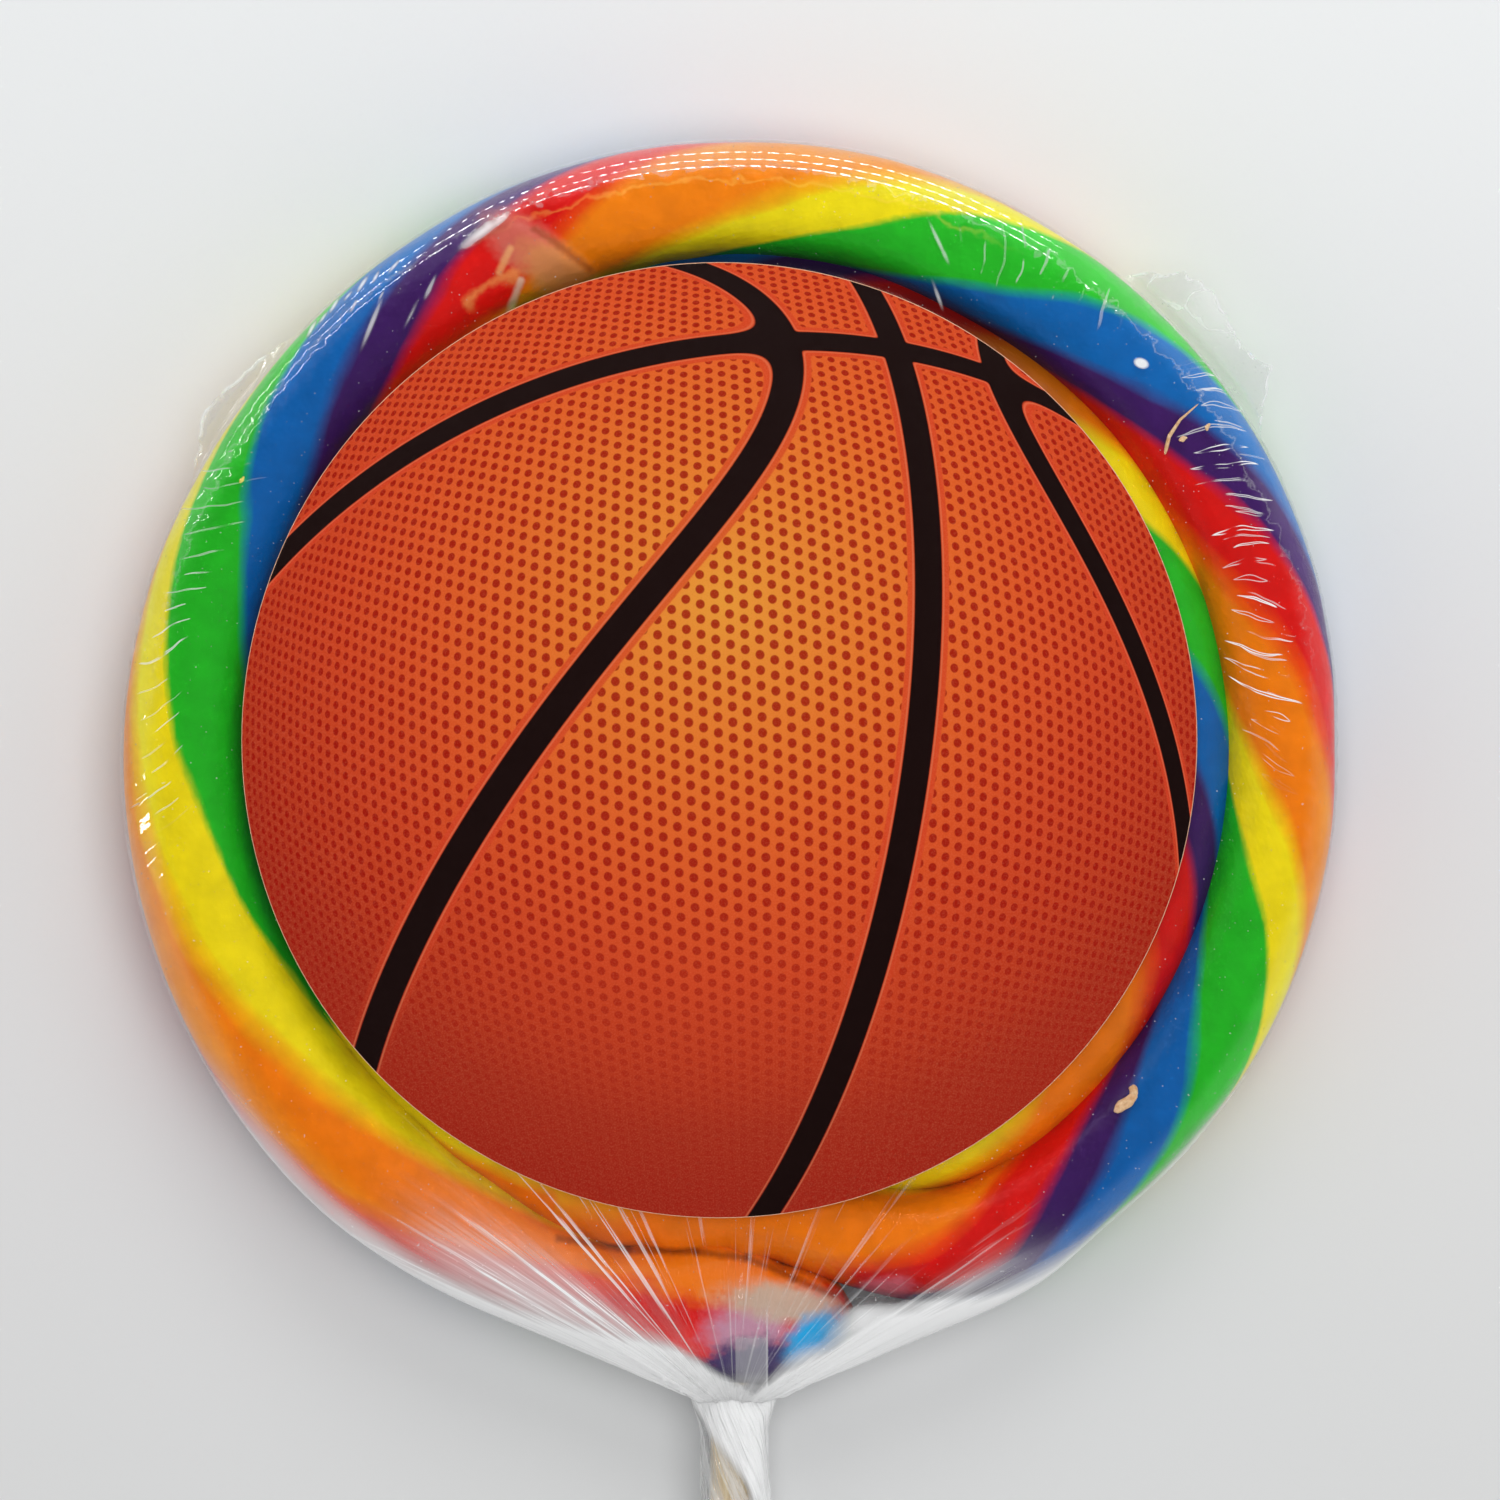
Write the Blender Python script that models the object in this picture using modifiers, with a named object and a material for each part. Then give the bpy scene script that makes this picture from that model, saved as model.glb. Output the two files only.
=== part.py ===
"""A swirl lollipop in its clear film, lying on its back with the printed side up.

One striped candy rope is coiled flat. Its outer end folds over the stick at the foot of the
coil, and each turn keeps close to a ring, then steps in by one rope width just before the
stick. The film is a thin bag drawn tight over the coil, gathered to a neck and shrunk on the
stick, with its two top corners standing out as ears. A round card lies on the film's front.

Every piece is laid out round the coil's middle, and one empty carries them to their place.
Metres, +Z up, the stick along -Y. Bearings run clockwise from +Y, seen from the front.
"""
import math

import bmesh
import bpy
from mathutils import Matrix, Vector

MM = 0.001

# Candy rope
COIL_RADIUS = 35.5 * MM         # middle line of the outermost turn
TURN_PITCH = 7.7 * MM           # from one turn to the next
TURN_GAP = 0.12 * MM            # open groove between neighbouring turns
ROPE_HEIGHT = 8.0 * MM          # front to back
ROPE_SQUARENESS = 2.15          # 2 is an ellipse, more is boxier
ROPE_SIDES = 16
RINGS_TO_MIDDLE = 4             # whole steps inwards before the rope's inner end

# Where the rope steps in, and where it starts and stops
FOOT = math.radians(180)        # bearing of the stick
OUTER_END = math.radians(168)
INNER_END = math.radians(1876)
STEP_END = math.radians(184 + 360)
STEP_SPAN = math.radians(34)    # on the outermost turn; wider further in
OUTER_TIP = 5.5 * MM            # length over which each end rounds off
INNER_TIP = 3.6 * MM
END_SHIFT = 1.4 * MM            # the folded end bulges outwards round the stick
END_SWELL = 0.2 * MM
END_SPAN = math.radians(26)
SEGMENT_LENGTH = 4.6 * MM       # along the middle line
SEGMENT_TURN = math.radians(20)

# Web that stands for the turns' fused flanks
WEB_RADIUS = 33.3 * MM
WEB_THICKNESS = 2.4 * MM

# Stick
STICK_RADIUS = 1.6 * MM
STICK_TOP = -17.8 * MM          # hidden end, inside the coil
STICK_END = -138.0 * MM
STICK_ROUNDING = 0.5 * MM

CLEARANCE = 0.3 * MM            # between pieces that touch

# Film
FILM_WALL = 0.3 * MM
FILM_HEIGHT = ROPE_HEIGHT + 2 * (CLEARANCE + FILM_WALL)
FILM_RADIUS = 40.0 * MM
FILM_RIM = 4.55 * MM
FILM_SIDES = 64
FILM_RIM_STEPS = 4
NECK_Y = -43.0 * MM
NECK_RADIUS = STICK_RADIUS + CLEARANCE + FILM_WALL
NECK_SIDES = 20
TAIL_LENGTH = 20.0 * MM
TAIL_RINGS = 6
TAIL_PLEATS = 4
TAIL_PLEAT_DEPTH = 0.12 * MM
TAIL_TWIST = math.radians(150)

# Ears: the bag's corners, welded flat; bearing, half span, height past the rim
EARS = (("ear_right", math.radians(50), math.radians(12), 3.6 * MM),
        ("ear_left", math.radians(-56), math.radians(7), 1.8 * MM))
EAR_THICKNESS = 0.6 * MM
EAR_ROOT = FILM_RADIUS - FILM_WALL / 2
EAR_POINTS = 13
EAR_RAGGEDNESS = 0.35

# Printed card
CARD_RADIUS = 30.8 * MM
CARD_THICKNESS = 0.4 * MM
CARD_X = -1.0 * MM
CARD_Y = 0.7 * MM
CARD_SIDES = 96

# Place of the coil's middle, which puts the whole on the ground and its middle at the origin
FILM_TOP_Y = FILM_RADIUS
COIL_PLACE = Vector((0.0, -(FILM_TOP_Y + STICK_END) / 2, FILM_HEIGHT / 2))


def clear_scene():
    for leftover in list(bpy.data.objects):
        bpy.data.objects.remove(leftover, do_unlink=True)


def material(name, colour, roughness, metallic=0.0):
    finish = bpy.data.materials.new(name)
    finish.use_nodes = True
    shader = finish.node_tree.nodes["Principled BSDF"]
    shader.inputs["Base Color"].default_value = (*colour, 1.0)
    shader.inputs["Roughness"].default_value = roughness
    shader.inputs["Metallic"].default_value = metallic
    return finish


def new_object(name, mesh, collection, parent):
    made = bpy.data.objects.new(name, mesh)
    collection.objects.link(made)
    made.parent = parent
    return made


def mesh_from(name, bm):
    mesh = bpy.data.meshes.new(name)
    bm.to_mesh(mesh)
    bm.free()
    return mesh


def shade_round(thing, sharp_angle=40):
    thing.data.shade_smooth()
    thing.data.set_sharp_from_angle(angle=math.radians(sharp_angle))


def smooth_step(start, end, value):
    """0 before start, 1 after end, with an even S between."""
    part = min(max((value - start) / (end - start), 0.0), 1.0)
    return part * part * (3 - 2 * part)


# ---------------------------------------------------------------- candy rope

def rope_radius(bearing):
    """Distance of the rope's middle line from the coil's middle, at a running bearing."""
    radius = COIL_RADIUS
    for ring in range(RINGS_TO_MIDDLE):
        step_end = STEP_END + ring * math.tau
        span = STEP_SPAN * COIL_RADIUS / (COIL_RADIUS - ring * TURN_PITCH)
        radius -= TURN_PITCH * smooth_step(step_end - span, step_end, bearing)
    folded = 1 - smooth_step(FOOT, FOOT + END_SPAN, bearing)
    return radius + END_SHIFT * folded


def rope_point(bearing):
    radius = rope_radius(bearing)
    return Vector((radius * math.sin(bearing), radius * math.cos(bearing), 0.0))


def rope_frame(bearing, nudge=1e-4):
    """Point on the middle line, the way out of the coil across the rope, and the slope."""
    along = rope_point(bearing + nudge) - rope_point(bearing - nudge)
    across = Vector((-along.y, along.x, 0.0)).normalized()
    point = rope_point(bearing)
    lean = across.dot(point.normalized())
    return point, across, lean


def rope_bearings():
    """Bearings from end to end, about one segment length apart."""
    bearings = [OUTER_END]
    while bearings[-1] < INNER_END:
        step = min(SEGMENT_LENGTH / rope_radius(bearings[-1]), SEGMENT_TURN)
        near_outer_end = bearings[-1] - OUTER_END < OUTER_TIP / COIL_RADIUS
        near_inner_end = (INNER_END - bearings[-1]) * rope_radius(bearings[-1]) < 2 * INNER_TIP
        if near_outer_end or near_inner_end:
            step /= 3
        bearings.append(bearings[-1] + step)
    bearings[-1] = INNER_END
    return bearings


def end_rounding(bearing):
    """Section scale: round domes at the two ends, 1 between them."""
    from_outer = (bearing - OUTER_END) * COIL_RADIUS / OUTER_TIP
    from_inner = (INNER_END - bearing) * rope_radius(INNER_END) / INNER_TIP
    part = min(max(min(from_outer, from_inner), 0.0), 1.0)
    return math.sqrt(1 - (1 - part) ** 2)


def rope_section(bm, bearing):
    """One closed ring of corners across the rope."""
    point, across, lean = rope_frame(bearing)
    swell = END_SWELL * (1 - smooth_step(FOOT, FOOT + END_SPAN, bearing))
    half_width = (TURN_PITCH * lean - TURN_GAP) / 2 + swell
    half_height = ROPE_HEIGHT / 2 - swell
    scale = end_rounding(bearing)
    ring = []
    for side in range(ROPE_SIDES):
        angle = math.tau * (side + 0.5) / ROPE_SIDES
        power = 2 / ROPE_SQUARENESS
        out = math.copysign(abs(math.cos(angle)) ** power, math.cos(angle))
        up = math.copysign(abs(math.sin(angle)) ** power, math.sin(angle))
        offset = across * (out * half_width * scale)
        offset.z = up * half_height * scale
        ring.append(bm.verts.new(point + offset))
    return ring


def coiled_rope():
    """The rope as a loft of its sections, closed by a point at each end."""
    bm = bmesh.new()
    bearings = rope_bearings()
    rings = [rope_section(bm, bearing) for bearing in bearings[1:-1]]
    for before, after in zip(rings, rings[1:]):
        for side in range(ROPE_SIDES):
            nxt = (side + 1) % ROPE_SIDES
            bm.faces.new((before[side], before[nxt], after[nxt], after[side]))
    for ring, bearing in ((rings[0], bearings[0]), (rings[-1], bearings[-1])):
        tip = bm.verts.new(rope_point(bearing))
        for side in range(ROPE_SIDES):
            bm.faces.new((ring[side], ring[(side + 1) % ROPE_SIDES], tip))
    bmesh.ops.recalc_face_normals(bm, faces=bm.faces)
    return mesh_from("candy_coil", bm)


def disc(name, radius, height, sides):
    bm = bmesh.new()
    bmesh.ops.create_cone(bm, cap_ends=True, segments=sides, radius1=radius, radius2=radius,
                          depth=height)
    return mesh_from(name, bm)


def rod(name, radius, y_from, y_to, sides):
    """A closed cylinder along Y between two distances."""
    bm = bmesh.new()
    lay_down = Matrix.Rotation(math.radians(90), 4, "X")
    shift = Matrix.Translation((0, (y_from + y_to) / 2, 0))
    bmesh.ops.create_cone(bm, cap_ends=True, segments=sides, radius1=radius, radius2=radius,
                          depth=abs(y_to - y_from), matrix=shift @ lay_down)
    return mesh_from(name, bm)


def as_tool(tool):
    tool.hide_render = True
    tool.display_type = "WIRE"


def apply_boolean(thing, tool, operation):
    cut = thing.modifiers.new(tool.name, "BOOLEAN")
    cut.operation = operation
    cut.object = tool
    cut.solver = "EXACT"


def make_candy(parts, tools, middle):
    candy = new_object("candy_coil", coiled_rope(), parts, middle)
    candy.data.materials.append(material("boiled_sugar_yellow", (0.80, 0.72, 0.05), 0.18))
    web = new_object("fused_flanks", disc("fused_flanks", WEB_RADIUS, WEB_THICKNESS, 64), tools, middle)
    as_tool(web)
    apply_boolean(candy, web, "UNION")
    bore = STICK_RADIUS + CLEARANCE
    socket_mesh = rod("stick_socket", bore, STICK_TOP + CLEARANCE, NECK_Y - CLEARANCE, NECK_SIDES)
    socket = new_object("stick_socket", socket_mesh, tools, middle)
    as_tool(socket)
    apply_boolean(candy, socket, "DIFFERENCE")
    shade_round(candy, 50)
    return candy


# ---------------------------------------------------------------- stick

def make_stick(parts, middle):
    stick = new_object("stick", rod("stick", STICK_RADIUS, STICK_TOP, STICK_END, 32), parts, middle)
    stick.data.materials.append(material("birch_wood", (0.68, 0.55, 0.38), 0.6))
    rounding = stick.modifiers.new("rounded_ends", "BEVEL")
    rounding.width = STICK_ROUNDING
    rounding.segments = 2
    rounding.limit_method = "ANGLE"
    shade_round(stick)
    return stick


# ---------------------------------------------------------------- film

def film_skin():
    """Outer skin: the tight hull over coil and neck, drawn down the stick as a pleated tail."""
    bm = bmesh.new()
    bmesh.ops.create_cone(bm, cap_ends=True, segments=FILM_SIDES, radius1=FILM_RADIUS,
                          radius2=FILM_RADIUS, depth=FILM_HEIGHT)
    rims = [edge for edge in bm.edges if abs(edge.verts[0].co.z - edge.verts[1].co.z) < 1e-6]
    bmesh.ops.bevel(bm, geom=rims, offset=FILM_RIM, offset_type="OFFSET", affect="EDGES",
                    segments=FILM_RIM_STEPS, profile=0.5, material=-1)
    neck = bmesh.ops.create_circle(
        bm, cap_ends=False, segments=NECK_SIDES, radius=NECK_RADIUS,
        matrix=Matrix.Translation((0, NECK_Y, 0)) @ Matrix.Rotation(math.radians(90), 4, "X"))
    bmesh.ops.delete(bm, geom=list(bm.edges), context="EDGES_FACES")
    bmesh.ops.convex_hull(bm, input=list(bm.verts))
    inside = [vert for vert in bm.verts if not vert.link_faces]
    bmesh.ops.delete(bm, geom=inside, context="VERTS")
    ring = set(neck["verts"])
    cap = [face for face in bm.faces if all(vert in ring for vert in face.verts)]
    bmesh.ops.delete(bm, geom=cap, context="FACES")
    edge_loop = [edge for edge in bm.edges if edge.is_boundary]
    for step in range(1, TAIL_RINGS + 1):
        grown = bmesh.ops.extrude_edge_only(bm, edges=edge_loop)["geom"]
        edge_loop = [item for item in grown if isinstance(item, bmesh.types.BMEdge)]
        place_tail_ring([item for item in grown if isinstance(item, bmesh.types.BMVert)], step)
    bmesh.ops.recalc_face_normals(bm, faces=bm.faces)
    return mesh_from("film_wrap", bm)


def place_tail_ring(corners, step):
    """Move one ring of the tail down the stick and pleat it."""
    down = TAIL_LENGTH * step / TAIL_RINGS
    turn = TAIL_TWIST * step / TAIL_RINGS
    for corner in corners:
        angle = math.atan2(corner.co.z, corner.co.x)
        pleat = 0.5 + 0.5 * math.cos(TAIL_PLEATS * (angle - turn))
        radius = NECK_RADIUS + TAIL_PLEAT_DEPTH * pleat
        corner.co = Vector((radius * math.cos(angle), NECK_Y - down, radius * math.sin(angle)))


def ear_mesh(name, bearing, half_span, height):
    """A flat welded corner: an arc along the rim, with a ragged outer edge."""
    bm = bmesh.new()
    root = []
    edge = []
    for index in range(EAR_POINTS):
        part = index / (EAR_POINTS - 1)
        at = bearing + half_span * (2 * part - 1)
        ragged = 1 - EAR_RAGGEDNESS * (0.5 + 0.5 * math.sin(5 * index))
        reach = EAR_ROOT + FILM_WALL + height * math.sin(math.pi * part) ** 0.6 * ragged
        way = Vector((math.sin(at), math.cos(at), 0.0))
        root.append(bm.verts.new(way * EAR_ROOT))
        edge.append(bm.verts.new(way * reach))
    for index in range(EAR_POINTS - 1):
        bm.faces.new((root[index], edge[index], edge[index + 1], root[index + 1]))
    thick = bmesh.ops.extrude_face_region(bm, geom=list(bm.faces))["geom"]
    top = [item for item in thick if isinstance(item, bmesh.types.BMVert)]
    bmesh.ops.translate(bm, verts=top, vec=(0, 0, EAR_THICKNESS))
    bmesh.ops.translate(bm, verts=bm.verts, vec=(0, 0, -EAR_THICKNESS / 2))
    bmesh.ops.recalc_face_normals(bm, faces=bm.faces)
    return mesh_from(name, bm)


def make_film(parts, tools, middle):
    film = new_object("film_wrap", film_skin(), parts, middle)
    film.data.materials.append(material("clear_film", (0.85, 0.88, 0.90), 0.1))
    wall = film.modifiers.new("wall", "SOLIDIFY")
    wall.thickness = FILM_WALL
    wall.offset = -1
    wall.use_even_offset = True
    for name, bearing, half_span, height in EARS:
        ear = new_object(name, ear_mesh(name, bearing, half_span, height), tools, middle)
        as_tool(ear)
        apply_boolean(film, ear, "UNION")
    shade_round(film, 50)
    return film


# ---------------------------------------------------------------- card

def make_card(parts, middle):
    card = new_object("print_card", disc("print_card", CARD_RADIUS, CARD_THICKNESS, CARD_SIDES),
                      parts, middle)
    card.location = (CARD_X, CARD_Y, FILM_HEIGHT / 2 + CLEARANCE + CARD_THICKNESS / 2)
    card.data.materials.append(material("printed_card", (0.72, 0.16, 0.04), 0.55))
    shade_round(card)
    return card


def make_lollipop():
    clear_scene()
    parts = bpy.data.collections.new("lollipop")
    tools = bpy.data.collections.new("cutters_and_joins")
    for collection in (parts, tools):
        bpy.context.scene.collection.children.link(collection)
    middle = bpy.data.objects.new("coil_middle", None)
    parts.objects.link(middle)
    middle.location = COIL_PLACE
    make_candy(parts, tools, middle)
    make_stick(parts, middle)
    make_film(parts, tools, middle)
    make_card(parts, middle)


make_lollipop()
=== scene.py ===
# %% [markdown]
# # A swirl lollipop in its clear film
#
# A striped candy rope is coiled flat, its outer end folds over a wooden stick, and a thin clear
# bag is drawn tight round it and gathered on the stick. A round printed card lies on the front.
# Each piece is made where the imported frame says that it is, so the frame is loaded first.
# Its box is kept, because the finished pieces may not outgrow it.

# %% Load the frame
import math
from bisect import bisect

import bmesh
import bpy
from mathutils import Matrix, Vector, noise


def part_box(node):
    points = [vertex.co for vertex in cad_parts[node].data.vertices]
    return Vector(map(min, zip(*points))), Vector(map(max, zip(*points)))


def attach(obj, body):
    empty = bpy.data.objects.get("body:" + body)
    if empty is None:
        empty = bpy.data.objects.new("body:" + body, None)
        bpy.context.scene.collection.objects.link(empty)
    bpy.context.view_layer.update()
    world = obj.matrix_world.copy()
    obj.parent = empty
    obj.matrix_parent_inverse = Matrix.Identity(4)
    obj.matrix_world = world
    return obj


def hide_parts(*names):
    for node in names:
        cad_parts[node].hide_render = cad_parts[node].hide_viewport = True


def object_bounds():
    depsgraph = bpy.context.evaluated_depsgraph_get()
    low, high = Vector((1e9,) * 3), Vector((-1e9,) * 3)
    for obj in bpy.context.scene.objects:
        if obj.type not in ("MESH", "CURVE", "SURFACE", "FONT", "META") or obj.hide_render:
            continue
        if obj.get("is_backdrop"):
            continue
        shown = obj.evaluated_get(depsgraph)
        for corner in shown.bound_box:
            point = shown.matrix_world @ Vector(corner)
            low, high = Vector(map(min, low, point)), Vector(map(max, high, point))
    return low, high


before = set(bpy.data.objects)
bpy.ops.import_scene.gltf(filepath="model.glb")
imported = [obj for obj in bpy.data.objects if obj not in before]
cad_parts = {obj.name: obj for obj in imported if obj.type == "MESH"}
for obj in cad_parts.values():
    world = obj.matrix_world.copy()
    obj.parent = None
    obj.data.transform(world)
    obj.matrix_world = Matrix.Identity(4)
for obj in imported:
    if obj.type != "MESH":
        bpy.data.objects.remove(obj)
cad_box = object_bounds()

MM = 0.001
print("packed nodes:", sorted(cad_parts))

# %% [markdown]
# ## Where things are
#
# The film's box gives the middle of the coil: the film is a round bag, so its radius is half its
# width, and its top edge is one radius above the middle. Bearings run clockwise from the top, as
# on a clock face, and the stick leaves at 180 degrees. Lengths are in millimetres from here on.

# %% Places from the frame
film_low, film_high = (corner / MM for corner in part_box("film_wrap"))
card_low, card_high = (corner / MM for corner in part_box("print_card"))
BAG_RADIUS = (film_high.x - film_low.x) / 2
MIDDLE = Vector((0, film_high.y - BAG_RADIUS, (film_low.z + film_high.z) / 2))
CARD_MIDDLE = (card_low + card_high) / 2
CARD_RADIUS = (card_high.x - card_low.x) / 2
FOOT = 180
print(f"coil middle {tuple(round(v, 2) for v in MIDDLE)} mm, bag radius {BAG_RADIUS:.2f} mm")


def smooth_step(start, end, value):
    """0 before start, 1 after end, with an even S between."""
    part = min(max((value - start) / (end - start), 0.0), 1.0)
    return part * part * (3 - 2 * part)


def blend(first, second, part):
    return first + (second - first) * part


def plateau(value, rise, fall):
    """1 between a rise and a fall, each given by where it starts and where it ends."""
    return smooth_step(*rise, value) * (1 - smooth_step(*fall, value))


def along_table(table, value, even=False):
    """Between the rows of a table of (value, result): straight lines, or an even S for each."""
    keys = [row[0] for row in table]
    after = min(max(bisect(keys, value), 1), len(table) - 1)
    (key, result), (next_key, next_result) = table[after - 1], table[after]
    part = smooth_step(key, next_key, value) if even else (value - key) / (next_key - key)
    return blend(result, next_result, part)


def ripple(x, y=0.0, z=0.0):
    """Smooth noise between about -1 and 1, the same in every run."""
    return noise.noise(Vector((x, y, z)))


# %% [markdown]
# ## Camera
#
# The camera looks straight down from half a metre with a long lens, so the round coil stays
# round. The width of the view at the height of the coil sets the lens: focal length is sensor
# width times distance over view width. The view transform is the plain one, so that a colour
# mixed in a material is the colour that is seen. Light that has bounced a few times between
# candy, film and floor is too weak to be seen, so it isn't followed further.

# %% Camera
VIEW_WIDTH = 97.5
VIEW_DISTANCE = 550
VIEW_SHIFT = (0.975, 0.065)
SENSOR = 36
BOUNCES = {"max_bounces": 6, "diffuse_bounces": 2, "glossy_bounces": 2}
lens = bpy.data.cameras.new("view_from_above")
lens.sensor_width = SENSOR
lens.lens = SENSOR * VIEW_DISTANCE / VIEW_WIDTH
lens.clip_start = 0.02
lens.clip_end = 20
camera = bpy.data.objects.new("view_from_above", lens)
camera.location = (MIDDLE + Vector((*VIEW_SHIFT, VIEW_DISTANCE))) * MM
bpy.context.scene.collection.objects.link(camera)
bpy.context.scene.camera = camera
bpy.context.scene.view_settings.view_transform = "Standard"
for kind, number in BOUNCES.items():
    setattr(bpy.context.scene.cycles, kind, number)
print(f"lens {lens.lens:.0f} mm")

# %% [markdown]
# ## Shader maths as Python
#
# A material's pattern is arithmetic on positions. Wrapping each node output in a small class with
# Python's operators lets a pattern be written as an expression, and each operator adds its Math
# node. Any other node comes from `node`, which takes the type, the settings and the sockets.


# %% Shader helpers
def linear(colour):
    """A screen colour of 0 to 255 as the linear light that Blender mixes."""
    parts = [value / 255 for value in colour]
    return tuple(v / 12.92 if v <= 0.04045 else ((v + 0.055) / 1.055) ** 2.4 for v in parts) + (1,)


class Paint:
    """One node output that can be used in Python expressions."""

    def __init__(self, finish, socket):
        self.finish = finish
        self.socket = socket

    def math(self, operation, *others, first=False, clamp=False):
        operands = (*others, self) if first else (self, *others)
        settings = {"operation": operation, "use_clamp": clamp}
        return self.finish.node("Math", settings, dict(enumerate(operands)))

    def __add__(self, other):
        return self.math("ADD", other)

    def __sub__(self, other):
        return self.math("SUBTRACT", other)

    def __rsub__(self, other):
        return self.math("SUBTRACT", other, first=True)

    def __mul__(self, other):
        return self.math("MULTIPLY", other)

    def __truediv__(self, other):
        return self.math("DIVIDE", other)

    def __pow__(self, other):
        return self.math("POWER", other)

    def __neg__(self):
        return self * -1

    def __abs__(self):
        return self.math("ABSOLUTE")

    __radd__ = __add__
    __rmul__ = __mul__

    def step(self, start, end):
        """0 before start and 1 after end, smooth between, or the other way round."""
        low, high = (0, 1) if start < end else (1, 0)
        return self.finish.node("MapRange", {"interpolation_type": "SMOOTHSTEP"}, {
            "Value": self, "From Min": min(start, end), "From Max": max(start, end),
            "To Min": low, "To Max": high})

    def plateau(self, rise, fall):
        """1 between a rise and a fall, each given by where it starts and where it ends."""
        return self.step(*rise) * self.step(*reversed(fall))

    def hill(self, centre, half_width):
        """1 at the centre, falling smoothly to 0 at half_width on both sides."""
        return abs(self - centre).step(half_width, 0)

    def clip(self):
        return self.math("ADD", 0, clamp=True)


class Finish:
    """A material, or the world, under construction."""

    def __init__(self, name, store=None):
        self.material = (bpy.data.materials if store is None else store).new(name)
        self.material.use_nodes = True
        self.tree = self.material.node_tree
        self.tree.nodes.clear()

    def node(self, kind, settings=None, inputs=None, output=0):
        made = self.tree.nodes.new("ShaderNode" + kind)
        for name, value in (settings or {}).items():
            setattr(made, name, value)
        for name, value in (inputs or {}).items():
            if isinstance(value, Paint):
                self.tree.links.new(value.socket, made.inputs[name])
            else:
                made.inputs[name].default_value = value
        return Paint(self, made.outputs[output]) if made.outputs else None

    def ramp(self, value, stops):
        """Colours at stops along a value, mixed in straight lines between them."""
        made = self.node("ValToRGB", None, {"Fac": value})
        marks = made.socket.node.color_ramp.elements
        marks.remove(marks[-1])
        marks[0].position, marks[0].color = stops[0][0], linear(stops[0][1])
        for position, colour in stops[1:]:
            marks.new(position).color = linear(colour)
        return made

    def mix(self, first, second, part, how="MIX"):
        """Two colours, mixed."""
        colours = {"data_type": "RGBA", "blend_type": how, "clamp_factor": True}
        return self.node("Mix", colours, {0: part, 6: first, 7: second}, output=2)

    def place(self, centre):
        """Millimetres from a centre, from the piece's own coordinates."""
        own = self.node("TexCoord", output=3)
        shift = {"Vector": own, "Location": tuple(-centre), "Scale": (1 / MM,) * 3}
        return self.node("Mapping", {"vector_type": "POINT"}, shift)

    def parts(self, vector):
        split = self.node("SeparateXYZ", None, {"Vector": vector})
        return [Paint(self, socket) for socket in split.socket.node.outputs]

    def join(self, x, y, z):
        return self.node("CombineXYZ", None, {"X": x, "Y": y, "Z": z})

    def noise(self, vector, scale, detail=2.0, roughness=0.5):
        sockets = {"Vector": vector, "Scale": scale, "Detail": detail, "Roughness": roughness}
        return self.node("TexNoise", None, sockets)

    def bump(self, height, distance, strength=1.0):
        """A Bump node: height runs from 0 to 1, and distance is in millimetres."""
        return self.node("Bump", None, {
            "Height": height, "Distance": distance * MM, "Strength": strength})

    def shader(self, **sockets):
        named = {name.replace("_", " "): value for name, value in sockets.items()}
        return self.node("BsdfPrincipled", None, named)

    def done(self, surface, output="OutputMaterial"):
        self.node(output, None, {"Surface": surface})
        print(f"{self.material.name}: {len(self.tree.nodes)} nodes")
        return self.material


def plan_length(x, y):
    """Length of an arrow in the plan."""
    return (x * x + y * y).math("SQRT")


def from_line(x, y, start, end):
    """Distance in the plan from a straight line between two places."""
    run_x, run_y = end[0] - start[0], end[1] - start[1]
    run = math.hypot(run_x, run_y)
    part = (((x - start[0]) * run_x + (y - start[1]) * run_y) / (run * run)).clip()
    return plan_length(x - start[0] - part * run_x, y - start[1] - part * run_y)


def from_oval(x, y, middle, half_width, half_height, turn=0.0):
    """0 at the middle of an oval in the plan, 1 at its edge; turn is in degrees."""
    cosine, sine = math.cos(math.radians(turn)), math.sin(math.radians(turn))
    off_x, off_y = x - middle[0], y - middle[1]
    across = (off_x * cosine + off_y * sine) / half_width
    up = (off_y * cosine - off_x * sine) / half_height
    return plan_length(across, up)


# %% [markdown]
# ## Making a piece
#
# The rope, the bag and its tail are all one idea: a flat grid of squares rolled round a curve.
# `create_grid` makes the squares and numbers them, and a function says where each corner goes.
# Where an edge of the grid meets another edge, or shrinks to one point, the doubled corners are
# merged, which closes the seam and the poles. The object stays at the origin.


# %% Piece helpers
def rolled_grid(name, columns, rows, corner_place, corner_mark=None):
    """A grid whose corner (column, row) goes to corner_place, in millimetres; marks fill a UV."""
    bm = bmesh.new()
    bmesh.ops.create_grid(bm, x_segments=columns, y_segments=rows, size=0.5)
    cells = {}
    for corner in bm.verts:
        cells[corner] = (round((corner.co.x + 0.5) * columns), round((corner.co.y + 0.5) * rows))
    if corner_mark:
        marks = bm.loops.layers.uv.new("pattern")
        for face in bm.faces:
            for loop in face.loops:
                loop[marks].uv = corner_mark(*cells[loop.vert])
    for corner, cell in cells.items():
        corner.co = corner_place(*cell) * MM
    bmesh.ops.remove_doubles(bm, verts=bm.verts, dist=1e-4 * MM)
    bmesh.ops.recalc_face_normals(bm, faces=bm.faces)
    return finished(name, bm)


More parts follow.
